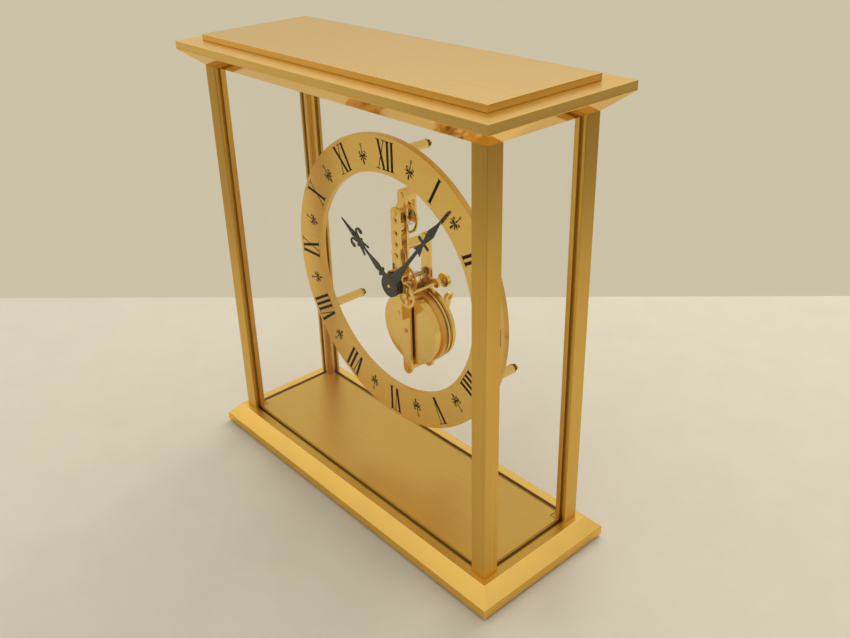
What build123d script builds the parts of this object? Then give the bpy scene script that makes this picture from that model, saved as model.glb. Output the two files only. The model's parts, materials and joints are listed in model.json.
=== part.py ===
"""Mantel clock: a glazed brass case on a bevelled plinth, with a chapter ring and an in-line
eight-day movement carried by the rear glass. Millimetres, +Z up, front towards -Y, origin under
the middle of the base."""
import os
from math import atan2, cos, degrees, pi, radians, sin, sqrt

from build123d import *

# Case: overall sizes
PAD_HEIGHT = 1.2
PAD_RADIUS = 7.0
PAD_INSET = 16.0
PILLAR_SPAN_X = 190.0
PILLAR_SPAN_Y = 61.1
PLINTH_OVERHANG = 9.0
PLINTH_EDGE = 4.1
PLINTH_HEIGHT = 10.6
PLINTH_BORDER = 2.8
PILLAR_LENGTH = 195.1
CORNICE_OVERHANG = 9.4
CORNICE_BEVEL = 7.5
CORNICE_EDGE = 3.9
CORNICE_FOOT = 0.3
CAP_INSET = 0.1
CAP_HEIGHT = 3.0

# Case: sections, glass and fixings
PILLAR_SIDE = 8.0
PILLAR_NOTCH = 2.2
GLASS_THICK = 2.0
GLASS_INSET = 2.8
GLASS_PLAY = 0.15
GROOVE_DEPTH = 2.0
FLOOR_THICK = 1.5
FLOOR_LIP = 0.6
FLOOR_PLAY = 0.15
UNDERPLATE_INSET = 6.5
UNDERPLATE_THICK = 1.6
CASE_SCREW_RADIUS = 1.6
CASE_SCREW_GRIP = 12.0
CASE_HEAD_RADIUS = 3.0
CASE_HEAD_HEIGHT = 2.2
SEAT_PLAY = 0.05

# Chapter ring and what carries it
RING_OUTER = 73.6
RING_INNER = 55.6
RING_THICK = 3.1
RING_STAND_OFF = 24.8
DIAL_HEIGHT = 109.8
POST_COUNT = 3
POST_CIRCLE = 64.6
POST_RADIUS = 2.25
POST_SPIGOT = 1.2
WASHER_THICK = 0.4
GLASS_SCREW_RADIUS = 1.0
GLASS_SCREW_GRIP = 5.0
GLASS_HEAD_RADIUS = 1.6
GLASS_HEAD_HEIGHT = 0.7

# Hands
MINUTE_ANGLE = 40.2
HOUR_ANGLE = 303.35
MINUTE_LENGTH = 64.6
HOUR_LENGTH = 44.2
HAND_THICK = 0.6
BOSS_RADIUS = 5.8
BOSS_PROUD = 0.1
HAND_GAP = 0.7
MINUTE_STAND_OFF = 25.7
HAND_NUT_RADIUS = 0.9
HAND_NUT_HEIGHT = 0.5

# Movement bars and plates, front to back
BAR_WIDTH = 6.0
BAR_THICK = 1.4
BRIDGE_STAND_OFF = 20.8
MAIN_STAND_OFF = 16.2
REAR_THICK = 2.0
REAR_MARGIN = 0.3
REAR_LUG_DROP = 1.4
BRIDGE_DROP = 19.6
MAIN_RISE = 46.6
PILLAR_RISE = 17.8
LOWER_PILLAR_GAP = 0.6
MOVEMENT_PILLAR_RADIUS = 2.4
LOWER_PILLAR_RADIUS = 1.7
BRIDGE_PILLAR_RADIUS = 1.4
BRIDGE_PILLAR_CLEAR = 0.3
BRIDGE_FOOT_HEIGHT = 13.0
BAR_SCREW_RADIUS = 0.7
BAR_HEAD_RADIUS = 1.3
BAR_HEAD_HEIGHT = 0.5
SLOT_WIDTH = 0.35

# Axes of the in-line train: the distances between them
BARREL_MODULE = 0.4
RELAY_TO_CENTRE = 8.3
BARREL_DROP = 28.1
CENTRE_TO_THIRD = 8.0
THIRD_TO_FOURTH = 6.0
FOURTH_TO_ESCAPE = 5.9
ESCAPE_TO_PALLET = 5.7
PALLET_TO_BALANCE = 6.4
SETTING_X = 7.0
SETTING_DROP = 4.4

# Teeth
BARREL_TEETH = 96
RELAY_PINION_TEETH = 8
RELAY_TEETH = 30
CENTRE_PINION_TEETH = 10
CENTRE_TEETH = 60
THIRD_PINION_TEETH = 10
THIRD_TEETH = 60
FOURTH_PINION_TEETH = 8
FOURTH_TEETH = 56
ESCAPE_PINION_TEETH = 7
ESCAPE_TEETH = 20
CANNON_TEETH = 12
MINUTE_WHEEL_TEETH = 36
MINUTE_PINION_TEETH = 10
HOUR_TEETH = 40
RATCHET_TEETH = 36
ESCAPE_RADIUS = 2.4
ESCAPE_THICK = 0.3
ESCAPE_TOOTH = 0.55
ESCAPE_RIM = 0.3
RATCHET_RADIUS = 9.0
RATCHET_TOOTH = 0.8

# Tooth form in modules: addendum, share of the half pitch, slope of the tip, slope of the root
WHEEL_FORM = (0.90, 0.92, 0.50, 0.15)
PINION_FORM = (0.75, 0.88, 0.50, -0.20)
DEDENDUM = 1.2

# Layers of the train along the arbors
WHEEL_THICK = 0.5
LAYER_GAP = 0.3
PIVOT_PLAY = 0.03
ARBOR_RADIUS = 0.35
CENTRE_ARBOR_RADIUS = 1.0
SETTING_ARBOR_RADIUS = 0.8
RELAY_ARBOR_RADIUS = 0.8
JEWEL_RADIUS = 0.85
SINK_RADIUS = 1.6
SINK_DEPTH = 0.6
RIM_SHARE = 0.78

# Barrel, winding and setting
DRUM_RADIUS = 18.2
DRUM_LIP = 0.8
DRUM_GAP = 0.9
DRUM_BACK_GAP = 1.75
DRUM_WALL = 1.2
TOOTH_RIM_INSET = 1.55
TOOTH_RIM_THICK = 3.1
FLANGE_THICK = 1.1
FLANGE_MARGIN = 0.05
REAR_RIM_GAP = 1.3
REAR_RIM_WIDTH = 1.2
REAR_RIM_CLEAR = 0.5
BARREL_ARBOR_RADIUS = 2.0
BARREL_CORE_RADIUS = 5.0
ARBOR_SQUARE = 2.7
SPRING_PLAY = 0.4
RATCHET_THICK = 1.0
KEY_HOLE_RADIUS = 3.4
KEY_TUBE_RADIUS = 2.6
KEY_WING_REACH = 14.2
KEY_WING_THICK = 1.8
KEY_WING_DEPTH = 5.4
KEY_WING_GRIP = 2.0
KEY_TUBE_LENGTH = 7.2
KEY_ANGLE = 17.0
KNOB_RADIUS = 3.75
KNOB_THICK = 2.0
KNOB_GRIPS = 48
KNOB_GRIP_DEPTH = 0.15
SETTING_HOLE_RADIUS = 1.8
KNOB_STAND_OFF = 1.2

# Balance and its spring
BALANCE_RADIUS = 8.0
BALANCE_GAP = 0.8
BALANCE_THICK = 1.0
BALANCE_RIM = 1.1
STAFF_RADIUS = 0.5
ROLLER_RADIUS = 2.1
ROLLER_PIN_CIRCLE = 1.7
ROLLER_PIN_RADIUS = 0.18
COCK_GAP = 2.2
HAIR_TURNS = 6
HAIR_PITCH = 0.56
HAIR_WIRE = 0.12
HAIR_DEPTH = 0.3
HAIR_START = 1.0
HAIR_COLLET = 0.8
STUD_RADIUS = 0.35
STUD_CLEAR = 0.3

# Heights and depths that follow from the sizes above
PLINTH_BOTTOM = PAD_HEIGHT
PLINTH_TOP = PLINTH_BOTTOM + PLINTH_HEIGHT
PILLAR_TOP = PLINTH_TOP + PILLAR_LENGTH
CORNICE_TOP = PILLAR_TOP + CORNICE_BEVEL + CORNICE_EDGE
HALF_X = PILLAR_SPAN_X / 2
HALF_Y = PILLAR_SPAN_Y / 2
GLASS_X = HALF_X - GLASS_INSET
GLASS_Y = HALF_Y - GLASS_INSET
REAR_GLASS_IN = GLASS_Y - GLASS_THICK / 2
REAR_GLASS_OUT = GLASS_Y + GLASS_THICK / 2
REAR_BACK = REAR_GLASS_IN - WASHER_THICK
REAR_FRONT = REAR_BACK - REAR_THICK
RING_FRONT = REAR_GLASS_IN - RING_STAND_OFF
RING_BACK = RING_FRONT + RING_THICK
MINUTE_FRONT = REAR_GLASS_IN - MINUTE_STAND_OFF
HOUR_FRONT = MINUTE_FRONT + HAND_THICK + HAND_GAP
BRIDGE_FRONT = REAR_GLASS_IN - BRIDGE_STAND_OFF
BRIDGE_BACK = BRIDGE_FRONT + BAR_THICK
MAIN_FRONT = REAR_GLASS_IN - MAIN_STAND_OFF
MAIN_BACK = MAIN_FRONT + BAR_THICK
FOURTH_LAYER = BRIDGE_BACK + LAYER_GAP
ESCAPE_LAYER = FOURTH_LAYER + WHEEL_THICK + LAYER_GAP
THIRD_LAYER = ESCAPE_LAYER + WHEEL_THICK + LAYER_GAP
CENTRE_LAYER = MAIN_BACK + LAYER_GAP
MINUTE_LAYER = BRIDGE_FRONT - WHEEL_THICK - LAYER_GAP
HOUR_LAYER = MINUTE_LAYER - WHEEL_THICK - LAYER_GAP
DRUM_FRONT = CENTRE_LAYER + DRUM_GAP - LAYER_GAP
DRUM_BACK = REAR_FRONT - DRUM_BACK_GAP
TOOTH_RIM_FRONT = DRUM_BACK - TOOTH_RIM_INSET - TOOTH_RIM_THICK
BALANCE_FRONT = MAIN_BACK + BALANCE_GAP
BALANCE_BACK = BALANCE_FRONT + BALANCE_THICK
COCK_FRONT = BALANCE_BACK + COCK_GAP
HAIR_PLANE = (BALANCE_BACK + COCK_FRONT) / 2
RATCHET_FRONT = DRUM_BACK + LAYER_GAP
RELAY_LAYER = RATCHET_FRONT + LAYER_GAP
KNOB_FRONT = REAR_GLASS_OUT + KNOB_STAND_OFF
KEY_FRONT = REAR_GLASS_OUT + LAYER_GAP
BARREL_AXIS = DIAL_HEIGHT - BARREL_DROP
BARREL_TO_RELAY = BARREL_MODULE * (BARREL_TEETH + RELAY_PINION_TEETH) / 2
RELAY_AXIS = BARREL_AXIS + (BARREL_DROP**2 + BARREL_TO_RELAY**2 - RELAY_TO_CENTRE**2) / (2 * BARREL_DROP)
RELAY_X = -sqrt(BARREL_TO_RELAY**2 - (RELAY_AXIS - BARREL_AXIS) ** 2)
RELAY = (RELAY_X, RELAY_AXIS)
THIRD_AXIS = DIAL_HEIGHT + CENTRE_TO_THIRD
FOURTH_AXIS = THIRD_AXIS + THIRD_TO_FOURTH
ESCAPE_AXIS = FOURTH_AXIS + FOURTH_TO_ESCAPE
PALLET_AXIS = ESCAPE_AXIS + ESCAPE_TO_PALLET
BALANCE_AXIS = PALLET_AXIS + PALLET_TO_BALANCE
BARREL_REACH = BARREL_MODULE * (BARREL_TEETH / 2 + WHEEL_FORM[0])
REAR_RADIUS = BARREL_REACH - REAR_MARGIN
FLANGE_RADIUS = BARREL_REACH - FLANGE_MARGIN
BAR_ROUND = BAR_WIDTH / 2
BRIDGE_TOP = BALANCE_AXIS + ROLLER_RADIUS + BRIDGE_PILLAR_CLEAR + BRIDGE_PILLAR_RADIUS + BAR_ROUND
BRIDGE_BOTTOM = DIAL_HEIGHT - BRIDGE_DROP
MAIN_TOP = DIAL_HEIGHT + MAIN_RISE
PILLAR_UPPER = DIAL_HEIGHT + PILLAR_RISE
PILLAR_LOWER = BARREL_AXIS - BARREL_REACH - LOWER_PILLAR_GAP - LOWER_PILLAR_RADIUS
SETTING_AXIS = (SETTING_X, DIAL_HEIGHT - SETTING_DROP)
MAIN_BOTTOM = PILLAR_LOWER - BAR_ROUND
CORNERS = ((-1, -1), (-1, 1), (1, -1), (1, 1))


def module_for(distance, teeth_a, teeth_b):
    """Module that puts two gears in mesh at a distance."""
    return 2 * distance / (teeth_a + teeth_b)


SETTING_DISTANCE = sqrt(SETTING_X**2 + SETTING_DROP**2)
RELAY_MODULE = module_for(RELAY_TO_CENTRE, RELAY_TEETH, CENTRE_PINION_TEETH)
CENTRE_MODULE = module_for(CENTRE_TO_THIRD, CENTRE_TEETH, THIRD_PINION_TEETH)
THIRD_MODULE = module_for(THIRD_TO_FOURTH, THIRD_TEETH, FOURTH_PINION_TEETH)
FOURTH_MODULE = module_for(FOURTH_TO_ESCAPE, FOURTH_TEETH, ESCAPE_PINION_TEETH)
CANNON_MODULE = module_for(SETTING_DISTANCE, CANNON_TEETH, MINUTE_WHEEL_TEETH)
HOUR_MODULE = module_for(SETTING_DISTANCE, HOUR_TEETH, MINUTE_PINION_TEETH)


# Helpers
def slab(face, front, back):
    """A flat shape drawn as seen from the front (X right, Z up), from one depth to another."""
    plane = Plane(origin=(0, back, 0), x_dir=(1, 0, 0), z_dir=(0, -1, 0))
    return extrude(plane * face, amount=back - front)


def rod(x, z, radius, front, back):
    """A round bar along Y."""
    return slab(Pos(x, z) * Circle(radius), front, back)


def sleeve(x, z, outer, inner, front, back):
    """A round tube along Y."""
    return slab(Pos(x, z) * (Circle(outer) - Circle(inner)), front, back)


def block(x, y, z):
    """A box between three pairs of limits."""
    size = (x[1] - x[0], y[1] - y[0], z[1] - z[0])
    return Pos((x[0] + x[1]) / 2, (y[0] + y[1]) / 2, (z[0] + z[1]) / 2) * Box(*size)


def frustum(low, high, z_low, z_high):
    """A bevelled rectangular block: its size at two heights."""
    return loft([Pos(0, 0, z_low) * Rectangle(*low), Pos(0, 0, z_high) * Rectangle(*high)])


def bar_face(bottom, top):
    """A bar with round ends between two heights."""
    return Pos(0, (bottom + top) / 2) * SlotOverall(top - bottom, BAR_WIDTH, rotation=90)


def toothed(teeth, module, lead=0.0, pinion=False):
    """A toothed disc. lead is the angle of one tooth, in degrees anticlockwise from X."""
    pitch_radius = module * teeth / 2
    addendum, share, tip_slope, root_slope = PINION_FORM if pinion else WHEEL_FORM
    half = share * pi / teeth / 2
    steps = [(-DEDENDUM, half + root_slope * DEDENDUM * 2 / teeth)]
    if pinion:
        steps.append((0.0, half))
    steps.append((addendum, half - tip_slope * addendum * 2 / teeth))
    points = []
    for tooth in range(teeth):
        middle = radians(lead) + 2 * pi * tooth / teeth
        flank = [(pitch_radius + rise * module, middle - width) for rise, width in steps]
        flank += [(pitch_radius + rise * module, middle + width) for rise, width in reversed(steps)]
        points += [(radius * cos(angle), radius * sin(angle)) for radius, angle in flank]
    return make_face(Polyline(*points, close=True))


def crossings(rim, hub, arms):
    """The openings between the arms of a wheel."""
    gaps = Circle(rim) - Circle(hub)
    for arm in range(arms):
        gaps -= Rot(0, 0, 360 * arm / arms) * Pos(rim / 2, 0) * Rectangle(rim, hub * 0.8)
    return gaps


def towards(here, there):
    """Angle of the line of centres, in degrees anticlockwise from X as seen from the front."""
    return degrees(atan2(there[1] - here[1], there[0] - here[0]))


def wheel(axis, teeth, module, mate, bore, layer, thick=WHEEL_THICK, arms=4):
    """A crossed-out wheel with one tooth on the line towards its mate."""
    pitch_radius = module * teeth / 2
    face = toothed(teeth, module, towards(axis, mate)) - Circle(bore + SEAT_PLAY)
    if arms:
        face -= crossings(RIM_SHARE * pitch_radius, bore * 2, arms)
    return slab(Pos(*axis) * face, layer, layer + thick)


def pinion(axis, teeth, module, mate, layer, thick=WHEEL_THICK):
    """A pinion with one gap on the line towards its mate."""
    gap = towards(axis, mate) + 180 / teeth
    return slab(Pos(*axis) * toothed(teeth, module, gap, pinion=True), layer, layer + thick)


def slotted_head(x, z, radius, height, front, shank, grip, turn=30):
    """A cheese-head screw whose slot faces the front; front is the face of the head."""
    head = rod(x, z, radius, front, front + height)
    cut = Pos(x, z) * Rot(0, 0, turn) * Rectangle(2.2 * radius, SLOT_WIDTH)
    slot = slab(cut, front, front + height / 2)
    return head - slot + rod(x, z, shank, front + height, front + height + grip)


def four(shape_at):
    """Four copies, one for each corner of the case."""
    return [shape_at(sx, sy) for sx, sy in CORNERS]


def group(solids):
    """Separate solids that share one node."""
    return Compound(children=list(solids))


# Case
def case_screw_place(sx, sy):
    inset = PILLAR_SIDE / 2 + CASE_SCREW_RADIUS / 4
    return sx * (HALF_X - inset), sy * (HALF_Y - inset)


def pane_grooves(z_low, z_high):
    """Slots for the edges of the four panes."""
    half = GLASS_THICK / 2 + GLASS_PLAY
    cuts = []
    long_x, long_y, heights = GLASS_X + half, GLASS_Y + half, (z_low, z_high)
    for side in (-1, 1):
        cuts.append(block((-long_x, long_x), (side * GLASS_Y - half, side * GLASS_Y + half), heights))
        cuts.append(block((side * GLASS_X - half, side * GLASS_X + half), (-long_y, long_y), heights))
    return cuts


def floor_outline(play):
    """The inner floor, notched for the pillars."""
    inset = GLASS_INSET + GLASS_THICK / 2 + GLASS_PLAY + FLOOR_LIP + play
    notch = PILLAR_SIDE + play + FLOOR_LIP - inset
    half_x, half_y = HALF_X - inset, HALF_Y - inset
    face = Rectangle(2 * half_x, 2 * half_y)
    for sx, sy in CORNERS:
        face -= Pos(sx * half_x, sy * half_y) * Rectangle(2 * notch, 2 * notch)
    return face


def underplate_outline(play):
    inset = UNDERPLATE_INSET + play - PLINTH_OVERHANG
    return Rectangle(PILLAR_SPAN_X - 2 * inset, PILLAR_SPAN_Y - 2 * inset)


def make_plinth():
    outer = (PILLAR_SPAN_X + 2 * PLINTH_OVERHANG, PILLAR_SPAN_Y + 2 * PLINTH_OVERHANG)
    inner = (PILLAR_SPAN_X + 2 * PLINTH_BORDER, PILLAR_SPAN_Y + 2 * PLINTH_BORDER)
    bevel_low = PLINTH_BOTTOM + PLINTH_EDGE
    body = Pos(0, 0, PLINTH_BOTTOM) * extrude(Rectangle(*outer), amount=PLINTH_EDGE)
    body += frustum(outer, inner, bevel_low, PLINTH_TOP)
    body -= Pos(0, 0, PLINTH_TOP - FLOOR_THICK) * extrude(floor_outline(0), amount=FLOOR_THICK)
    for cut in pane_grooves(PLINTH_TOP - GROOVE_DEPTH, PLINTH_TOP):
        body -= cut
    body -= Pos(0, 0, PLINTH_BOTTOM) * extrude(underplate_outline(0), amount=UNDERPLATE_THICK)
    hole = extrude(Circle(CASE_SCREW_RADIUS + SEAT_PLAY), amount=PLINTH_HEIGHT)
    hole += extrude(Circle(CASE_HEAD_RADIUS + SEAT_PLAY), amount=UNDERPLATE_THICK + CASE_HEAD_HEIGHT)
    for sx, sy in CORNERS:
        body -= Pos(*case_screw_place(sx, sy), PLINTH_BOTTOM) * hole
    return body


def make_underplate():
    return Pos(0, 0, PLINTH_BOTTOM) * extrude(underplate_outline(SEAT_PLAY), amount=UNDERPLATE_THICK)


def make_pads():
    x = HALF_X + PLINTH_OVERHANG - PAD_INSET
    y = HALF_Y + PLINTH_OVERHANG - PAD_INSET
    pad = extrude(Circle(PAD_RADIUS), amount=PAD_HEIGHT)
    return group(four(lambda sx, sy: Pos(sx * x, sy * y, 0) * pad))


def make_floor():
    return Pos(0, 0, PLINTH_TOP - FLOOR_THICK) * extrude(floor_outline(FLOOR_PLAY), amount=FLOOR_THICK)


def make_pillar(sx, sy):
    """An L-section post with a glass groove in the end of each arm."""
    corner_x, corner_y = sx * HALF_X, sy * HALF_Y
    middle = Pos(corner_x - sx * PILLAR_SIDE / 2, corner_y - sy * PILLAR_SIDE / 2)
    face = middle * Rectangle(PILLAR_SIDE, PILLAR_SIDE)
    inner = (corner_x - sx * PILLAR_SIDE, corner_y - sy * PILLAR_SIDE)
    face -= Pos(*inner) * Rectangle(2 * PILLAR_NOTCH, 2 * PILLAR_NOTCH)
    width = GLASS_THICK + 2 * GLASS_PLAY
    face -= Pos(inner[0], sy * GLASS_Y) * Rectangle(2 * GROOVE_DEPTH, width)
    face -= Pos(sx * GLASS_X, inner[1]) * Rectangle(width, 2 * GROOVE_DEPTH)
    body = Pos(0, 0, PLINTH_TOP) * extrude(face, amount=PILLAR_LENGTH)
    x, y = case_screw_place(sx, sy)
    hole = extrude(Circle(CASE_SCREW_RADIUS + SEAT_PLAY), amount=CASE_SCREW_GRIP)
    return body - Pos(x, y, PLINTH_TOP) * hole - Pos(x, y, PILLAR_TOP - CASE_SCREW_GRIP) * hole


def make_cornice():
    outer = (PILLAR_SPAN_X + 2 * CORNICE_OVERHANG, PILLAR_SPAN_Y + 2 * CORNICE_OVERHANG)
    inner = (PILLAR_SPAN_X + 2 * CORNICE_FOOT, PILLAR_SPAN_Y + 2 * CORNICE_FOOT)
    edge_low = PILLAR_TOP + CORNICE_BEVEL
    body = frustum(inner, outer, PILLAR_TOP, edge_low)
    body += Pos(0, 0, edge_low) * extrude(Rectangle(*outer), amount=CORNICE_EDGE)
    for cut in pane_grooves(PILLAR_TOP, PILLAR_TOP + GROOVE_DEPTH):
        body -= cut
    depth = CORNICE_TOP - PILLAR_TOP
    hole = extrude(Circle(CASE_SCREW_RADIUS + SEAT_PLAY), amount=depth)
    head = extrude(Circle(CASE_HEAD_RADIUS + SEAT_PLAY), amount=CASE_HEAD_HEIGHT)
    hole += Pos(0, 0, depth - CASE_HEAD_HEIGHT) * head
    for sx, sy in CORNERS:
        body -= Pos(*case_screw_place(sx, sy), PILLAR_TOP) * hole
    return body


def make_cap():
    face = Rectangle(PILLAR_SPAN_X - 2 * CAP_INSET, PILLAR_SPAN_Y - 2 * CAP_INSET)
    return Pos(0, 0, CORNICE_TOP) * extrude(face, amount=CAP_HEIGHT)


def make_case_screws(head_z, upwards):
    """Four screws into the pillar ends; the head is below when they point upwards."""
    reach = CASE_SCREW_GRIP - SEAT_PLAY
    tip = PLINTH_TOP + reach if upwards else PILLAR_TOP - reach
    seat = head_z + CASE_HEAD_HEIGHT if upwards else head_z - CASE_HEAD_HEIGHT

    def screw(sx, sy):
        x, y = case_screw_place(sx, sy)
        head = Pos(x, y, min(head_z, seat)) * extrude(Circle(CASE_HEAD_RADIUS), amount=CASE_HEAD_HEIGHT)
        shank = Pos(x, y, min(seat, tip)) * extrude(Circle(CASE_SCREW_RADIUS), amount=abs(tip - seat))
        return head + shank

    return group(four(screw))


def pane_limits():
    low = PLINTH_TOP - GROOVE_DEPTH
    return low, PILLAR_TOP + GROOVE_DEPTH - GLASS_PLAY


def pane_half(half_span):
    return half_span - PILLAR_SIDE + GROOVE_DEPTH - GLASS_PLAY


def make_cross_pane(y):
    """The front or rear pane."""
    half = pane_half(HALF_X)
    return block((-half, half), (y - GLASS_THICK / 2, y + GLASS_THICK / 2), pane_limits())


def make_side_pane(x):
    half = pane_half(HALF_Y)
    return block((x - GLASS_THICK / 2, x + GLASS_THICK / 2), (-half, half), pane_limits())


def post_places():
    """The posts start at twelve and divide the ring evenly."""
    turns = [radians(90 - 360 * i / POST_COUNT) for i in range(POST_COUNT)]
    return [(POST_CIRCLE * cos(t), DIAL_HEIGHT + POST_CIRCLE * sin(t)) for t in turns]


def glass_screw_places():
    return post_places() + [(0, PILLAR_UPPER), (0, PILLAR_LOWER)]


def make_rear_pane():
    """The rear pane, drilled for the fixing screws, the key and the setting arbor."""
    pane = make_cross_pane(GLASS_Y)
    front, back = REAR_GLASS_IN, REAR_GLASS_OUT
    for x, z in glass_screw_places():
        pane -= rod(x, z, GLASS_SCREW_RADIUS + GLASS_PLAY, front, back)
    pane -= rod(0, BARREL_AXIS, KEY_HOLE_RADIUS, front, back)
    return pane - rod(*SETTING_AXIS, SETTING_HOLE_RADIUS, front, back)


# Chapter ring
def make_ring():
    ring = slab(Pos(0, DIAL_HEIGHT) * (Circle(RING_OUTER) - Circle(RING_INNER)), RING_FRONT, RING_BACK)
    for x, z in post_places():
        ring -= rod(x, z, POST_SPIGOT + SEAT_PLAY, RING_BACK - RING_THICK / 2, RING_BACK)
    return ring


def make_posts():
    posts = []
    for x, z in post_places():
        post = rod(x, z, POST_RADIUS, RING_BACK, REAR_BACK)
        post += rod(x, z, POST_SPIGOT, RING_BACK - RING_THICK / 2, RING_BACK)
        thread = rod(x, z, GLASS_SCREW_RADIUS + SEAT_PLAY, REAR_BACK - GLASS_SCREW_GRIP, REAR_BACK)
        posts.append(post - thread)
    return group(posts)


def make_glass_washers():
    """Fibre washers between the glass and each post or plate that is screwed to it."""
    bore = GLASS_SCREW_RADIUS + SEAT_PLAY
    return group(sleeve(x, z, POST_RADIUS, bore, REAR_BACK, REAR_GLASS_IN) for x, z in glass_screw_places())


def make_glass_screws():
    """Slotted screws from behind, through the glass into the posts and pillars."""
    head_front = REAR_GLASS_OUT
    head_back = head_front + GLASS_HEAD_HEIGHT
    screws = []
    for x, z in glass_screw_places():
        screw = rod(x, z, GLASS_HEAD_RADIUS, head_front, head_back)
        slot = Pos(x, z) * Rot(0, 0, 25) * Rectangle(2.2 * GLASS_HEAD_RADIUS, 2 * SLOT_WIDTH)
        screw -= slab(slot, head_back - GLASS_HEAD_HEIGHT / 2, head_back)
        tip = REAR_BACK - GLASS_SCREW_GRIP + SEAT_PLAY
        screws.append(screw + rod(x, z, GLASS_SCREW_RADIUS, tip, head_front))
    return group(screws)


# Hands
def hand_blade(points):
    """A flat shape that is the same on both sides of the hand; points are (radius, half width)."""
    right = [(w, r) for r, w in points]
    left = [(-w, r) for r, w in reversed(points) if w > 0]
    return make_face(Polyline(*right, *left, close=True))


def minute_outline():
    tip = MINUTE_LENGTH
    cross = tip - 25.8
    face = Circle(BOSS_RADIUS) + hand_blade([(0, 2.6), (8, 2.6), (13, 2.0), (19, 1.0), (cross, 0.7)])
    barb = [(cross - 6.6, 0.6), (cross - 7.6, 2.6), (cross - 5.2, 1.9), (cross - 2, 0.9), (cross, 0.6)]
    face += hand_blade(barb)
    face += Pos(0, cross) * SlotOverall(8.2, 1.5)
    spear = [(cross, 0.7), (cross + 4.6, 1.5), (cross + 7.8, 2.15), (cross + 11, 1.5), (cross + 15.8, 0.6)]
    return face + hand_blade(spear) + hand_blade([(cross + 15, 0.6), (tip, 0.45)])


def scroll(side, root):
    """One curled petal of the hour hand, with a drop at its end."""
    centre = Pos(side * 3.75, root + 3.6)
    curl = centre * (Circle(2.3) - Circle(1.15)) & centre * Pos(0, 2) * Rectangle(6, 4)
    stem = make_face(Polyline(
        (0, root), (side * 1.2, root), (side * 2.6, root + 3.7), (side * 1.5, root + 3.7), close=True))
    drop = Pos(side * 5.2, root + 2.7) * Ellipse(1.0, 1.6)
    return curl + stem + drop


def hour_outline():
    tip = HOUR_LENGTH
    root = tip - 16.5
    leaf = [(0, 2.2), (6.5, 1.5), (9.4, 1.2), (12.5, 2.0), (16, 1.4), (20, 0.65), (root, 0.65)]
    face = Circle(BOSS_RADIUS) + hand_blade(leaf)
    for side in (-1, 1):
        face += Pos(side * 1.9, 8.7) * Circle(0.95)
        face += Pos(side * 1.9, root) * Circle(1.0)
        face += make_face(Polyline(
            (0, root), (side * 1.6, root), (side * 3.5, root - 6.2), (side * 2.5, root - 6.2), close=True))
        face += scroll(side, root)
    point = [(root - 1, 0.5), (root + 3, 0.8), (root + 6, 1.6), (root + 9, 1.0), (tip, 0.2)]
    return face + hand_blade(point)


def make_hand(outline, angle, front, bore):
    face = Pos(0, DIAL_HEIGHT) * Rot(0, 0, -angle)
    hand = slab(face * outline, front, front + HAND_THICK)
    hand += rod(0, DIAL_HEIGHT, BOSS_RADIUS, front - BOSS_PROUD, front + HAND_THICK + BOSS_PROUD)
    return hand - rod(0, DIAL_HEIGHT, bore + SEAT_PLAY, front - BOSS_PROUD, front + HAND_THICK + BOSS_PROUD)


def make_hand_nut():
    front = MINUTE_FRONT - BOSS_PROUD
    nut = rod(0, DIAL_HEIGHT, HAND_NUT_RADIUS, front - HAND_NUT_HEIGHT, front)
    tip = nut.faces().sort_by(Axis.Y)[0]
    return chamfer(tip.edges(), HAND_NUT_HEIGHT / 2)


# Motion work
CANNON_WALL = 0.35
HOUR_PIPE_WALL = 0.6
CANNON_PIPE = CENTRE_ARBOR_RADIUS + CANNON_WALL
HOUR_PIPE_IN = CANNON_PIPE + PIVOT_PLAY
HOUR_PIPE = HOUR_PIPE_IN + HOUR_PIPE_WALL
CENTRE = (0, DIAL_HEIGHT)


def make_cannon():
    face = pinion(CENTRE, CANNON_TEETH, CANNON_MODULE, SETTING_AXIS, MINUTE_LAYER)
    face += rod(*CENTRE, CANNON_PIPE, MINUTE_FRONT + HAND_THICK + BOSS_PROUD, MINUTE_LAYER)
    return face - rod(*CENTRE, CENTRE_ARBOR_RADIUS + SEAT_PLAY, MINUTE_FRONT, BRIDGE_FRONT)


def make_hour_wheel():
    body = wheel(CENTRE, HOUR_TEETH, HOUR_MODULE, SETTING_AXIS, HOUR_PIPE, HOUR_LAYER, arms=0)
    pipe_front = HOUR_FRONT - BOSS_PROUD
    body += sleeve(*CENTRE, HOUR_PIPE + 2 * SEAT_PLAY, HOUR_PIPE_IN, HOUR_LAYER, HOUR_LAYER + WHEEL_THICK)
    return body + sleeve(*CENTRE, HOUR_PIPE, HOUR_PIPE_IN, pipe_front, HOUR_LAYER + WHEEL_THICK)


def make_minute_wheel():
    bore = SETTING_ARBOR_RADIUS
    return wheel(SETTING_AXIS, MINUTE_WHEEL_TEETH, CANNON_MODULE, CENTRE, bore, MINUTE_LAYER)


def make_setting_arbor():
    """The long arbor that carries the minute wheel in front and the setting knob behind."""
    arbor = rod(*SETTING_AXIS, SETTING_ARBOR_RADIUS, HOUR_LAYER, KNOB_FRONT + KNOB_THICK / 2)
    return arbor + pinion(SETTING_AXIS, MINUTE_PINION_TEETH, HOUR_MODULE, CENTRE, HOUR_LAYER)


def make_setting_knob():
    grips = saw_teeth(KNOB_GRIPS, KNOB_RADIUS, KNOB_RADIUS - KNOB_GRIP_DEPTH, 0.5)
    knob = slab(Pos(*SETTING_AXIS) * grips, KNOB_FRONT, KNOB_FRONT + KNOB_THICK)
    knob += rod(*SETTING_AXIS, 2 * SETTING_ARBOR_RADIUS, KNOB_FRONT - KNOB_STAND_OFF / 2, KNOB_FRONT)
    bore = SETTING_ARBOR_RADIUS + SEAT_PLAY
    return knob - rod(*SETTING_AXIS, bore, KNOB_FRONT - KNOB_STAND_OFF, KNOB_FRONT + KNOB_THICK / 2)


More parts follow.
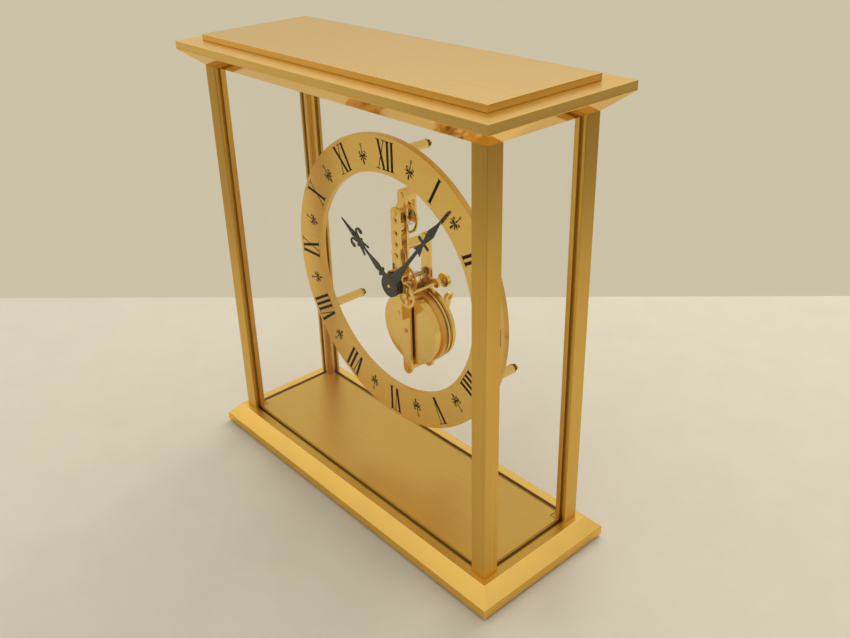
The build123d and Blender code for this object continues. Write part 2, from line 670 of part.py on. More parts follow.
# Movement frame
BRIDGE_SCREW_HEIGHTS = (BRIDGE_TOP - BAR_ROUND, BRIDGE_BOTTOM + BAR_ROUND)
TRAIN_AXES = (THIRD_AXIS, FOURTH_AXIS, ESCAPE_AXIS, PALLET_AXIS)
JEWEL_AXES = (FOURTH_AXIS, ESCAPE_AXIS, PALLET_AXIS, BALANCE_AXIS)
PIVOT = ARBOR_RADIUS + PIVOT_PLAY


def setting_ear():
    """A round ear that carries the setting arbor beside a bar."""
    x, z = SETTING_AXIS
    reach = Pos(x / 2, z) * Rectangle(x, 4 * SETTING_ARBOR_RADIUS)
    return reach + Pos(x, z) * Circle(3 * SETTING_ARBOR_RADIUS)


def relay_ear():
    """A round ear that carries the relay arbor beside a bar."""
    reach = Pos(RELAY_X / 2, RELAY_AXIS) * Rectangle(-RELAY_X, 4 * RELAY_ARBOR_RADIUS)
    return reach + Pos(*RELAY) * Circle(2.5 * RELAY_ARBOR_RADIUS)


def oil_sink(z):
    """The cone round a jewel in the front of the bridge."""
    place = Plane(origin=(0, BRIDGE_FRONT + SINK_DEPTH / 2, z), x_dir=(1, 0, 0), z_dir=(0, 1, 0))
    return place * Cone(SINK_RADIUS, JEWEL_RADIUS + SEAT_PLAY, SINK_DEPTH)


def bridge_foot():
    """The square lower end of the bridge."""
    return Pos(0, BRIDGE_BOTTOM + BRIDGE_FOOT_HEIGHT / 2) * Rectangle(BAR_WIDTH, BRIDGE_FOOT_HEIGHT)


def make_bridge():
    """The front bar, over the train."""
    face = bar_face(BRIDGE_BOTTOM, BRIDGE_TOP) + bridge_foot() + setting_ear()
    bridge = slab(face, BRIDGE_FRONT, BRIDGE_BACK)
    for z in JEWEL_AXES:
        bridge -= rod(0, z, JEWEL_RADIUS + SEAT_PLAY / 2, BRIDGE_FRONT, BRIDGE_BACK)
        bridge -= oil_sink(z)
    bridge -= rod(0, THIRD_AXIS, PIVOT, BRIDGE_FRONT, BRIDGE_BACK)
    bridge -= rod(*CENTRE, CENTRE_ARBOR_RADIUS + PIVOT_PLAY, BRIDGE_FRONT, BRIDGE_BACK)
    bridge -= rod(*SETTING_AXIS, SETTING_ARBOR_RADIUS + PIVOT_PLAY, BRIDGE_FRONT, BRIDGE_BACK)
    for z in BRIDGE_SCREW_HEIGHTS:
        bridge -= rod(0, z, BAR_SCREW_RADIUS + SEAT_PLAY, BRIDGE_FRONT, BRIDGE_BACK)
        bridge -= rod(0, z, BAR_HEAD_RADIUS + SEAT_PLAY, BRIDGE_FRONT, BRIDGE_FRONT + BAR_HEAD_HEIGHT / 2)
    return bridge


def make_jewels():
    jewels = []
    for z in JEWEL_AXES:
        radius = STAFF_RADIUS if z == BALANCE_AXIS else ARBOR_RADIUS
        front = BRIDGE_FRONT + SINK_DEPTH
        jewels.append(sleeve(0, z, JEWEL_RADIUS, radius + PIVOT_PLAY, front, BRIDGE_BACK))
    return group(jewels)


def make_bridge_pillars():
    """A round pillar above and a square foot below, between the bridge and the main bar."""
    upper, lower = BRIDGE_SCREW_HEIGHTS
    bore = BAR_SCREW_RADIUS + SEAT_PLAY
    foot = slab(bridge_foot(), BRIDGE_BACK, MAIN_FRONT) - rod(0, lower, bore, BRIDGE_BACK, MAIN_FRONT)
    return group([sleeve(0, upper, BRIDGE_PILLAR_RADIUS, bore, BRIDGE_BACK, MAIN_FRONT), foot])


def make_bridge_screws():
    front = BRIDGE_FRONT - BAR_HEAD_HEIGHT / 2
    grip = MAIN_BACK - front - BAR_HEAD_HEIGHT
    return group(
        slotted_head(0, z, BAR_HEAD_RADIUS, BAR_HEAD_HEIGHT, front, BAR_SCREW_RADIUS, grip)
        for z in BRIDGE_SCREW_HEIGHTS)


COCK_SCREW = MAIN_TOP - BAR_ROUND
MAIN_SCREW_HEIGHTS = (COCK_SCREW, PILLAR_UPPER, PILLAR_LOWER)


def make_main_plate():
    """The full-length bar behind the train."""
    plate = slab(bar_face(MAIN_BOTTOM, MAIN_TOP) + relay_ear(), MAIN_FRONT, MAIN_BACK)
    for z in TRAIN_AXES:
        plate -= rod(0, z, PIVOT, MAIN_FRONT, MAIN_BACK)
    for z in MAIN_SCREW_HEIGHTS + BRIDGE_SCREW_HEIGHTS:
        plate -= rod(0, z, BAR_SCREW_RADIUS + SEAT_PLAY, MAIN_FRONT, MAIN_BACK)
    plate -= rod(*CENTRE, CENTRE_ARBOR_RADIUS + PIVOT_PLAY, MAIN_FRONT, MAIN_BACK)
    plate -= rod(0, BALANCE_AXIS, 2 * STAFF_RADIUS, MAIN_FRONT, MAIN_BACK)
    plate -= rod(*RELAY, RELAY_ARBOR_RADIUS + PIVOT_PLAY, MAIN_FRONT, MAIN_BACK)
    return plate - rod(0, BARREL_AXIS, BARREL_ARBOR_RADIUS / 2 + PIVOT_PLAY, MAIN_FRONT, MAIN_BACK)


def make_main_screws():
    front = MAIN_FRONT - BAR_HEAD_HEIGHT
    return group(
        slotted_head(0, z, BAR_HEAD_RADIUS, BAR_HEAD_HEIGHT, front, BAR_SCREW_RADIUS, 2 * BAR_THICK)
        for z in MAIN_SCREW_HEIGHTS)


def make_movement_pillars():
    """Two pillars from the main bar to the rear plate, tapped at both ends."""
    pillars = []
    for z, radius in ((PILLAR_UPPER, MOVEMENT_PILLAR_RADIUS), (PILLAR_LOWER, LOWER_PILLAR_RADIUS)):
        pillar = rod(0, z, radius, MAIN_BACK, REAR_FRONT)
        pillar -= rod(0, z, BAR_SCREW_RADIUS + SEAT_PLAY, MAIN_BACK, MAIN_BACK + 2 * BAR_THICK)
        thread = rod(0, z, GLASS_SCREW_RADIUS + SEAT_PLAY, REAR_BACK - GLASS_SCREW_GRIP, REAR_FRONT)
        pillars.append(pillar - thread)
    return group(pillars)


def make_rear_plate():
    """The rear plate behind the barrel, with a bar up to the upper pillar and a lug below."""
    face = bar_face(MAIN_BOTTOM - REAR_LUG_DROP, PILLAR_UPPER + BAR_ROUND)
    face += Pos(0, BARREL_AXIS) * Circle(REAR_RADIUS) + setting_ear() + relay_ear()
    plate = slab(face, REAR_FRONT, REAR_BACK)
    relay_tip = RELAY_MODULE * (RELAY_TEETH / 2 + WHEEL_FORM[0]) + REAR_RIM_CLEAR
    rim_radius = REAR_RADIUS - REAR_RIM_WIDTH / 2
    rim = Pos(0, BARREL_AXIS) * (Circle(rim_radius) - Circle(rim_radius - REAR_RIM_WIDTH))
    plate += slab(rim - Pos(*RELAY) * Circle(relay_tip), DRUM_BACK + REAR_RIM_GAP, REAR_FRONT)
    for z in (PILLAR_UPPER, PILLAR_LOWER):
        plate -= rod(0, z, GLASS_SCREW_RADIUS + SEAT_PLAY, REAR_FRONT, REAR_BACK)
    plate -= rod(*CENTRE, CENTRE_ARBOR_RADIUS + PIVOT_PLAY, REAR_FRONT, REAR_BACK)
    plate -= rod(*RELAY, RELAY_ARBOR_RADIUS + PIVOT_PLAY, REAR_FRONT, REAR_BACK)
    plate -= rod(*SETTING_AXIS, SETTING_ARBOR_RADIUS + PIVOT_PLAY, REAR_FRONT, REAR_BACK)
    plate -= rod(*CLICK_PIVOT, CLICK_PIN_RADIUS + PIVOT_PLAY, REAR_FRONT, REAR_BACK)
    return plate - rod(0, BARREL_AXIS, BARREL_ARBOR_RADIUS + PIVOT_PLAY, REAR_FRONT, REAR_BACK)


# Barrel and winding
BARREL = (0, BARREL_AXIS)
CLICK_LENGTH = 3.0
CLICK_ANGLE = radians(40)
CLICK_REACH = RATCHET_RADIUS + CLICK_LENGTH
CLICK_PIVOT = (-CLICK_REACH * sin(CLICK_ANGLE), BARREL_AXIS + CLICK_REACH * cos(CLICK_ANGLE))
CLICK_PIN_RADIUS = 0.6
CLICK_CLEAR = 0.25


def make_drum():
    """The going barrel: a drum with a lip in front, teeth and a flange behind, open at the back."""
    rim = toothed(BARREL_TEETH, BARREL_MODULE, towards(BARREL, RELAY))
    drum = rod(*BARREL, DRUM_RADIUS, DRUM_FRONT, DRUM_BACK)
    drum += rod(*BARREL, DRUM_RADIUS + DRUM_LIP, DRUM_FRONT, DRUM_FRONT + DRUM_WALL)
    drum += rod(*BARREL, FLANGE_RADIUS, DRUM_BACK - FLANGE_THICK, DRUM_BACK)
    drum += slab(Pos(*BARREL) * rim, TOOTH_RIM_FRONT, TOOTH_RIM_FRONT + TOOTH_RIM_THICK)
    drum -= rod(*BARREL, DRUM_RADIUS - DRUM_WALL, DRUM_FRONT + DRUM_WALL, DRUM_BACK)
    return drum - rod(*BARREL, BARREL_ARBOR_RADIUS + PIVOT_PLAY, DRUM_FRONT, DRUM_BACK)


def make_drum_cover():
    outer = DRUM_RADIUS - DRUM_WALL - SEAT_PLAY
    return sleeve(*BARREL, outer, BARREL_ARBOR_RADIUS + PIVOT_PLAY, DRUM_BACK - DRUM_WALL, DRUM_BACK)


def make_mainspring():
    """The coiled mainspring, as one pack between the arbor's core and the wall of the drum."""
    outer = DRUM_RADIUS - DRUM_WALL - SPRING_PLAY
    inner = BARREL_CORE_RADIUS + SPRING_PLAY
    front = DRUM_FRONT + DRUM_WALL + SPRING_PLAY
    return sleeve(*BARREL, outer, inner, front, DRUM_BACK - DRUM_WALL - SPRING_PLAY)


def make_barrel_arbor():
    core_front = DRUM_FRONT + DRUM_WALL + SPRING_PLAY
    core_back = DRUM_BACK - DRUM_WALL - SPRING_PLAY
    arbor = rod(*BARREL, BARREL_ARBOR_RADIUS / 2, MAIN_FRONT - BAR_HEAD_HEIGHT / 2, DRUM_FRONT - LAYER_GAP)
    arbor += rod(*BARREL, BARREL_ARBOR_RADIUS, DRUM_FRONT - LAYER_GAP, REAR_BACK)
    arbor += rod(*BARREL, BARREL_CORE_RADIUS, core_front, core_back)
    square = Pos(*BARREL) * Rectangle(ARBOR_SQUARE, ARBOR_SQUARE)
    return arbor + slab(square, REAR_BACK, KEY_FRONT + KEY_TUBE_LENGTH - KEY_WING_GRIP - LAYER_GAP)


def saw_teeth(teeth, tip, root, lean):
    """A saw-toothed disc; lean is the share of the pitch that the tip is set over."""
    points = []
    for tooth in range(teeth):
        start = 2 * pi * tooth / teeth
        over = start + lean * 2 * pi / teeth
        points += [(root * cos(start), root * sin(start)), (tip * cos(over), tip * sin(over))]
    return make_face(Polyline(*points, close=True))


def make_ratchet():
    face = saw_teeth(RATCHET_TEETH, RATCHET_RADIUS, RATCHET_RADIUS - RATCHET_TOOTH, 0.15)
    face -= Circle(BARREL_ARBOR_RADIUS + SEAT_PLAY)
    return slab(Pos(*BARREL) * face, RATCHET_FRONT, RATCHET_FRONT + RATCHET_THICK)


def make_click():
    """The click that holds the ratchet wheel, turning on a pin in the rear plate."""
    x, z = CLICK_PIVOT
    line = towards(CLICK_PIVOT, BARREL)
    length = CLICK_LENGTH - CLICK_CLEAR
    nose = make_face(Polyline((0, 1.1), (0, -1.1), (length, -0.25), (length, 0.25), close=True))
    face = Circle(1.3) + nose + Rot(0, 0, 180) * Pos(1.6, 0) * Rectangle(3.2, 1.2)
    click = slab(Pos(x, z) * Rot(0, 0, line) * face, RATCHET_FRONT, RATCHET_FRONT + RATCHET_THICK)
    return click + rod(x, z, CLICK_PIN_RADIUS, RATCHET_FRONT + RATCHET_THICK, REAR_BACK)


def make_key():
    """A winged key on the square end of the barrel arbor."""
    tube_back = KEY_FRONT + KEY_TUBE_LENGTH
    key = rod(*BARREL, KEY_TUBE_RADIUS, KEY_FRONT, tube_back)
    half = KEY_WING_DEPTH / 2
    middle = tube_back - KEY_WING_GRIP + half
    lobe = Pos(KEY_WING_REACH - half, 0) * Circle(half)
    face = Rectangle(2 * (KEY_WING_REACH - half), 1.4 * half) + lobe + Rot(0, 0, 180) * lobe
    hole = Pos(KEY_WING_REACH - half, 0) * Circle(half / 2)
    face -= hole + Rot(0, 0, 180) * hole
    upright = Plane(origin=(0, 0, 0), x_dir=(0, 0, 1), z_dir=(1, 0, 0))
    wing = extrude(upright * face, amount=KEY_WING_THICK / 2, both=True)
    key += Pos(0, middle, BARREL_AXIS) * Rot(0, KEY_ANGLE, 0) * wing
    side = ARBOR_SQUARE + 2 * SEAT_PLAY
    return key - slab(Pos(*BARREL) * Rectangle(side, side), KEY_FRONT, tube_back - KEY_WING_GRIP)


# Going train
def pinion_arbor(axis, radius, front, back):
    return rod(*axis, radius, front, back)


THIRD = (0, THIRD_AXIS)
FOURTH = (0, FOURTH_AXIS)
ESCAPE = (0, ESCAPE_AXIS)
PALLET = (0, PALLET_AXIS)
BALANCE = (0, BALANCE_AXIS)


def make_relay_wheel():
    return wheel(RELAY, RELAY_TEETH, RELAY_MODULE, CENTRE, RELAY_ARBOR_RADIUS, RELAY_LAYER)


def make_relay_pinion():
    arbor = pinion_arbor(RELAY, RELAY_ARBOR_RADIUS, MAIN_FRONT, REAR_BACK)
    leaves = pinion(RELAY, RELAY_PINION_TEETH, BARREL_MODULE, BARREL, TOOTH_RIM_FRONT, TOOTH_RIM_THICK)
    return arbor + leaves


def make_centre_arbor():
    """The arbor through the whole movement: pinion at the back, hands in front."""
    arbor = pinion_arbor(CENTRE, CENTRE_ARBOR_RADIUS, MINUTE_FRONT - BOSS_PROUD, REAR_BACK)
    return arbor + pinion(CENTRE, CENTRE_PINION_TEETH, RELAY_MODULE, RELAY, RELAY_LAYER)


def make_centre_wheel():
    return wheel(CENTRE, CENTRE_TEETH, CENTRE_MODULE, THIRD, CENTRE_ARBOR_RADIUS, CENTRE_LAYER)


def make_third_pinion():
    arbor = pinion_arbor(THIRD, ARBOR_RADIUS, BRIDGE_FRONT, CENTRE_LAYER + WHEEL_THICK)
    return arbor + pinion(THIRD, THIRD_PINION_TEETH, CENTRE_MODULE, CENTRE, CENTRE_LAYER)


def make_third_wheel():
    return wheel(THIRD, THIRD_TEETH, THIRD_MODULE, FOURTH, ARBOR_RADIUS, THIRD_LAYER)


def make_fourth_pinion():
    arbor = pinion_arbor(FOURTH, ARBOR_RADIUS, BRIDGE_FRONT, MAIN_BACK)
    return arbor + pinion(FOURTH, FOURTH_PINION_TEETH, THIRD_MODULE, THIRD, THIRD_LAYER)


def make_fourth_wheel():
    return wheel(FOURTH, FOURTH_TEETH, FOURTH_MODULE, ESCAPE, ARBOR_RADIUS, FOURTH_LAYER)


def make_escape_pinion():
    arbor = pinion_arbor(ESCAPE, ARBOR_RADIUS, BRIDGE_FRONT, MAIN_BACK)
    return arbor + pinion(ESCAPE, ESCAPE_PINION_TEETH, FOURTH_MODULE, FOURTH, FOURTH_LAYER)


def make_escape_wheel():
    root = ESCAPE_RADIUS - ESCAPE_TOOTH
    face = saw_teeth(ESCAPE_TEETH, ESCAPE_RADIUS, root, 0.3)
    face -= Circle(ARBOR_RADIUS + SEAT_PLAY) + crossings(root - ESCAPE_RIM, 2 * ARBOR_RADIUS, 4)
    front = ESCAPE_LAYER + (WHEEL_THICK - ESCAPE_THICK) / 2
    return slab(Pos(*ESCAPE) * face, front, front + ESCAPE_THICK)


# Escapement and balance
PALLET_SPAN = 50.0
PALLET_CLEAR = 0.45
FORK_CLEAR = 0.25


def make_pallet_lever():
    """The lever: two arms over the escape wheel and a fork towards the balance."""
    reach = ESCAPE_RADIUS + PALLET_CLEAR
    drop = PALLET_AXIS - ESCAPE_AXIS
    face = Circle(3 * ARBOR_RADIUS)
    fork = BALANCE_AXIS - PALLET_AXIS - ROLLER_PIN_CIRCLE - ROLLER_PIN_RADIUS - FORK_CLEAR
    face += Pos(0, fork / 2) * Rectangle(0.9, fork)
    face -= Pos(0, fork) * Rectangle(3 * ROLLER_PIN_RADIUS, 1.2)
    for side in (-1, 1):
        stone = (side * reach * sin(radians(PALLET_SPAN)), reach * cos(radians(PALLET_SPAN)) - drop)
        outer = (stone[0] + side * 0.7, stone[1] + 0.2)
        face += make_face(Polyline((0, 0.8), (0, -0.8), stone, outer, close=True))
    lever = slab(Pos(*PALLET) * face, ESCAPE_LAYER, ESCAPE_LAYER + WHEEL_THICK)
    return lever + pinion_arbor(PALLET, ARBOR_RADIUS, BRIDGE_FRONT, MAIN_BACK)


def make_balance_wheel():
    rim = Circle(BALANCE_RADIUS) - Circle(BALANCE_RADIUS - BALANCE_RIM)
    arms = Rectangle(2 * BALANCE_RADIUS - BALANCE_RIM, 1.2) + Circle(3 * STAFF_RADIUS)
    face = rim + arms - Circle(STAFF_RADIUS + SEAT_PLAY)
    return slab(Pos(*BALANCE) * face, BALANCE_FRONT, BALANCE_FRONT + BALANCE_THICK)


def make_balance_staff():
    """The staff with its roller and impulse pin."""
    roller_front = ESCAPE_LAYER + WHEEL_THICK + LAYER_GAP
    staff = pinion_arbor(BALANCE, STAFF_RADIUS, BRIDGE_FRONT, COCK_FRONT + BAR_THICK)
    staff += rod(*BALANCE, ROLLER_RADIUS, roller_front, roller_front + WHEEL_THICK)
    collet = HAIR_START - HAIR_WIRE / 2 - SEAT_PLAY
    staff += rod(*BALANCE, collet, HAIR_PLANE - HAIR_COLLET / 2, HAIR_PLANE + HAIR_COLLET / 2)
    pin = rod(0, BALANCE_AXIS - ROLLER_PIN_CIRCLE, ROLLER_PIN_RADIUS, ESCAPE_LAYER, roller_front)
    return staff + pin


def make_balance_cock():
    """The cock behind the balance, footed on the top of the main bar."""
    foot_low = BALANCE_AXIS + BALANCE_RADIUS + 3 * LAYER_GAP
    foot = slab(bar_face(foot_low - BAR_WIDTH, MAIN_TOP), MAIN_BACK, COCK_FRONT)
    foot &= block((-BAR_WIDTH, BAR_WIDTH), (MAIN_BACK, COCK_FRONT), (foot_low, MAIN_TOP))
    arm = slab(bar_face(BALANCE_AXIS - BAR_ROUND, MAIN_TOP), COCK_FRONT, COCK_FRONT + BAR_THICK)
    cock = foot + arm
    cock -= rod(0, COCK_SCREW, BAR_SCREW_RADIUS + SEAT_PLAY, MAIN_BACK, MAIN_BACK + 2 * BAR_THICK)
    cock -= rod(*BALANCE, STAFF_RADIUS + PIVOT_PLAY, COCK_FRONT, COCK_FRONT + BAR_THICK)
    stud = BALANCE_AXIS + HAIR_START + HAIR_TURNS * HAIR_PITCH + STUD_RADIUS + STUD_CLEAR
    return cock + rod(0, stud, STUD_RADIUS, HAIR_PLANE - HAIR_WIRE, COCK_FRONT)


def make_hairspring():
    """A flat spiral of half-turn arcs, from the collet out to the stud under the cock."""
    arcs = []
    radius = HAIR_START
    point = (radius, 0)
    for half_turn in range(2 * HAIR_TURNS):
        side = -1 if half_turn % 2 == 0 else 1
        next_point = (point[0] + side * (2 * radius + HAIR_PITCH / 2), 0)
        arcs.append(RadiusArc(point, next_point, -abs(next_point[0] - point[0]) / 2))
        radius += HAIR_PITCH / 2
        point = next_point
    plane = Plane(origin=(0, HAIR_PLANE, BALANCE_AXIS), x_dir=(1, 0, 0), z_dir=(0, -1, 0))
    path = plane * Wire(arcs)
    section = Plane(origin=path @ 0, x_dir=(1, 0, 0), z_dir=path % 0) * Rectangle(HAIR_WIRE, HAIR_DEPTH)
    print("hairspring: least gap to itself", round(least_gap(path) - HAIR_WIRE, 3), "mm")
    return sweep(section, path=path)


def least_gap(path, samples=360):
    """The least distance between two places on a coil that are more than half a turn apart."""
    points = [path @ (i / samples) for i in range(samples + 1)]
    apart = pi * (HAIR_START + HAIR_TURNS * HAIR_PITCH)
    step = path.length / samples
    least = path.length
    for i, here in enumerate(points):
        for j in range(i + 1, len(points)):
            turn = here.X * points[j].X + (here.Z - BALANCE_AXIS) * (points[j].Z - BALANCE_AXIS)
            if (j - i) * step > apart or (j - i) * step > 4 * HAIR_START and turn > 0:
                least = min(least, (here - points[j]).length)
    return least


def main():
    os.makedirs("parts", exist_ok=True)
    nodes = {
        "base_plinth": make_plinth(),
        "base_underplate": make_underplate(),
        "foot_pads": make_pads(),
        "floor_plate": make_floor(),
        "cornice": make_cornice(),
        "cap_plate": make_cap(),
        "pillar_screws_lower": make_case_screws(PLINTH_BOTTOM + UNDERPLATE_THICK, True),
        "pillar_screws_upper": make_case_screws(CORNICE_TOP, False),
        "glass_front": make_cross_pane(-GLASS_Y),
        "glass_left": make_side_pane(-GLASS_X),
        "glass_right": make_side_pane(GLASS_X),
        "glass_rear": make_rear_pane(),
        "chapter_ring": make_ring(),
        "ring_posts": make_posts(),
        "glass_washers": make_glass_washers(),
        "glass_screws": make_glass_screws(),
        "minute_hand": make_hand(minute_outline(), MINUTE_ANGLE, MINUTE_FRONT, CENTRE_ARBOR_RADIUS),
        "hour_hand": make_hand(hour_outline(), HOUR_ANGLE, HOUR_FRONT, HOUR_PIPE),
        "hand_nut": make_hand_nut(),
        "cannon_pinion": make_cannon(),
        "hour_wheel": make_hour_wheel(),
        "minute_wheel": make_minute_wheel(),
        "setting_arbor": make_setting_arbor(),
        "setting_knob": make_setting_knob(),
        "train_bridge": make_bridge(),
        "bridge_jewels": make_jewels(),
        "bridge_pillars": make_bridge_pillars(),
        "bridge_screws": make_bridge_screws(),
        "main_plate": make_main_plate(),
        "main_plate_screws": make_main_screws(),
        "movement_pillars": make_movement_pillars(),
        "rear_plate": make_rear_plate(),
        "barrel_drum": make_drum(),
        "barrel_cover": make_drum_cover(),
        "mainspring": make_mainspring(),
        "barrel_arbor": make_barrel_arbor(),
        "ratchet_wheel": make_ratchet(),
        "click": make_click(),
        "winding_key": make_key(),
        "relay_wheel": make_relay_wheel(),
        "relay_pinion": make_relay_pinion(),
        "centre_arbor": make_centre_arbor(),
        "centre_wheel": make_centre_wheel(),
        "third_pinion": make_third_pinion(),
        "third_wheel": make_third_wheel(),
        "fourth_pinion": make_fourth_pinion(),
        "fourth_wheel": make_fourth_wheel(),
        "escape_pinion": make_escape_pinion(),
        "escape_wheel": make_escape_wheel(),
        "pallet_lever": make_pallet_lever(),
        "balance_wheel": make_balance_wheel(),
        "balance_staff": make_balance_staff(),
        "balance_cock": make_balance_cock(),
        "hairspring": make_hairspring(),
    }
    for sx, side in ((-1, "left"), (1, "right")):
        for sy, end in ((-1, "front"), (1, "rear")):
            nodes[f"pillar_{end}_{side}"] = make_pillar(sx, sy)
    for name, shape in nodes.items():
        export_step(shape, f"parts/{name}.step")


main()
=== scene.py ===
"""Looks of a glazed brass mantel clock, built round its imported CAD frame.

The case, the ring, the hands and the plates get rounded edges and brushed or polished faces. The ring gets
its numerals and half-hour ornaments, and the stage gives a pale table, a wall and soft light.
"""

import json
import math

import bmesh
import bpy
from bpy.props import FloatProperty, FloatVectorProperty, IntProperty, PointerProperty
from mathutils import Euler, Matrix, Vector

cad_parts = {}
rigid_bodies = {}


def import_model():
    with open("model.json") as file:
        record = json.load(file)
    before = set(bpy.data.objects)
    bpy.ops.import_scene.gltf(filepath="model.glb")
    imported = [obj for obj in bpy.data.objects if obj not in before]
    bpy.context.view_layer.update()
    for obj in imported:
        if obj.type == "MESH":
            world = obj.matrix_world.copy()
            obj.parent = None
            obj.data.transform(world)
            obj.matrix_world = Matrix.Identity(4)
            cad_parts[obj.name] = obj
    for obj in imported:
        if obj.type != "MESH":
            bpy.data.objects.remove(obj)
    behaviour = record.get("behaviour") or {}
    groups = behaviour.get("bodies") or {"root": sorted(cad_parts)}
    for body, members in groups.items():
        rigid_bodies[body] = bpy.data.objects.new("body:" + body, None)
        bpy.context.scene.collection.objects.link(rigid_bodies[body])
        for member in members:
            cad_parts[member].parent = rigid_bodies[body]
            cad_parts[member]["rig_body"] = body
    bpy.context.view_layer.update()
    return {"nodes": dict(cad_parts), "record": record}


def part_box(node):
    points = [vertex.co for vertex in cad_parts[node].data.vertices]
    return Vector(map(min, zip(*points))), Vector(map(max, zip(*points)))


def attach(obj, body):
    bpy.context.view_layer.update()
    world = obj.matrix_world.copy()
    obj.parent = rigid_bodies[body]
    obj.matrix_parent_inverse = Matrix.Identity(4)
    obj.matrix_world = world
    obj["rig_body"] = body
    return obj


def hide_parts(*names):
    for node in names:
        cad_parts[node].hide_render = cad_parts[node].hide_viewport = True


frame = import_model()
MM = 0.001

bl_info = {
    "name": "Mantel Clock Looks",
    "version": (1, 0, 0),
    "blender": (4, 2, 0),
    "location": "View3D > Sidebar > Clock",
    "description": "Finishes, numerals and stage of a glazed brass mantel clock",
    "category": "Object",
}


def linear(code):
    """Linear RGB of an sRGB hex colour."""
    channels = [int(code[i:i + 2], 16) / 255 for i in (1, 3, 5)]
    return tuple(c / 12.92 if c <= 0.04045 else ((c + 0.055) / 1.055) ** 2.4 for c in channels)


def length(label, description, millimetres):
    """A length property, given in millimetres and kept in metres."""
    return FloatProperty(name=label, description=description, default=millimetres * MM, min=0.0,
                         precision=5, subtype="DISTANCE", unit="LENGTH")


def colour(label, description, code):
    """A colour property, given as an sRGB hex colour."""
    return FloatVectorProperty(name=label, description=description, default=linear(code), size=3,
                               min=0.0, max=1.0, subtype="COLOR")


class ClockSizes(bpy.types.PropertyGroup):
    """Sizes of what the scene adds to the CAD frame."""

    case_edge: length("Case edge", "Rounding of the case's outer edges", 0.3)
    plate_edge: length("Plate edge", "Rounding of the ring's and the plates' edges", 0.14)
    hand_edge: length("Hand edge", "Rounding of the hands' edges", 0.1)
    fine_edge: length("Fine edge", "Rounding of the barrel's and the knob's edges", 0.05)
    # Real brush lines are finer than the render can show, so these are drawn coarser.
    brush_line: length("Brush line", "Width of one line of the brushed finish", 0.2)
    brush_run: length("Brush run", "Length of one line of the brushed finish", 90.0)
    print_height: length("Print height", "How far the numerals stand above the ring", 0.03)
    numeral_foot: length("Numeral foot", "Radius of the numerals' inner ends", 57.6)
    numeral_height: length("Numeral height", "Radial height of the numerals", 14.0)
    stem_width: length("Stem width", "Width of a numeral's thick strokes", 1.55)
    stem_pitch: length("Stem pitch", "Distance between upright strokes of one numeral", 2.95)
    hair_width: length("Hair width", "Width of a numeral's thin strokes", 0.5)
    serif_reach: length("Serif reach", "How far a serif reaches past its stroke's middle", 1.35)
    serif_height: length("Serif height", "Thickness of a serif", 0.38)
    ornament_radius: length("Ornament radius", "Radius of the half-hour ornaments' middles", 62.9)
    ornament_count: IntProperty(name="Ornament count", description="Half-hour ornaments round the ring",
                                default=12, min=1)
    lens: FloatProperty(name="Lens", description="Focal length in millimetres on a 36 mm sensor",
                        default=38.738, min=1.0)


class ClockFinishes(bpy.types.PropertyGroup):
    """Colours of the clock and of the stage."""

    satin_brass: colour("Satin brass", "Brushed and lacquered brass of the case", "#e7bc5e")
    # On the ring and the floor this is gilt brass; on the case's narrow upright edges its paler colour is
    # painted light.
    dial_and_painted_lighter_edge_brass: colour("Dial brass", "Gilt brass of the ring, the floor and narrow edges", "#f3cb71")
    polished_brass: colour("Polished brass", "Mirror bevels of the plinth and the cornice", "#f6c868")
    gilt_brass: colour("Gilt brass", "Gilt plates and wheels of the movement", "#f1cc78")
    steel: colour("Steel", "Arbors, pinions and screws", "#c2a878")
    black: colour("Black", "Lacquered hands and printed numerals", "#17120b")
    felt: colour("Felt", "Foot pads", "#1d211c")
    fibre: colour("Fibre", "Washers on the rear glass", "#4a3524")
    ruby: colour("Ruby", "Bearing jewels", "#8e1430")
    table: colour("Table", "Table top", "#d6cfbc")
    wall: colour("Wall", "Wall behind the table", "#ccc2a8")
    daylight: colour("Daylight", "Soft light from above", "#fffcf6")
    gloom: colour("Gloom", "Far side of the room, low round the table", "#70604b")


def sizes():
    """The sizes as the panel has them."""
    return bpy.context.scene.clock_sizes


def finishes():
    """The colours as the panel has them."""
    return bpy.context.scene.clock_finishes


def add(tree, kind, settings=None, inputs=None):
    """Adds a node, sets its properties, and links its inputs or sets them to values.

    An input goes by its name or, where names repeat, by its number. Map Range has its value at 0, the range
    it comes from at 1 and 2 and the range it goes to at 3 and 4. Mix has its share at 0 and its two sides
    at 2 and 3 for numbers, 4 and 5 for vectors, and 6 and 7 for colours.
    """
    node = tree.nodes.new(kind)
    for key, value in (settings or {}).items():
        setattr(node, key, value)
    for key, value in (inputs or {}).items():
        if isinstance(value, bpy.types.NodeSocket):
            tree.links.new(value, node.inputs[key])
        else:
            node.inputs[key].default_value = value
    return node


def shaded(name, values):
    """A new material with these values on its Principled shader: the material, its tree and the shader."""
    material = bpy.data.materials.new(name)
    material.use_nodes = True
    shader = material.node_tree.nodes["Principled BSDF"]
    for key, value in values.items():
        shader.inputs[key].default_value = value
    return material, material.node_tree, shader


# Directions of brushed lines along X, Y and Z, a little off the axis so that no face is square to one.
LAYS = ((1.0, 0.02, 0.0), (0.02, 1.0, 0.0), (0.02, 0.0, 1.0))
# The stretch of a noise pattern over which a finish goes from one end of its colours to the other.
NOISE_LOW = 0.3
NOISE_HIGH = 0.7
# The darkest and the lightest brushed line as shares of the brass, their swing in roughness, their depth.
LINE_DARK = 0.92
LINE_LIGHT = 1.06
LINE_BLUR = 0.06
LINE_DEPTH = 0.02 * MM


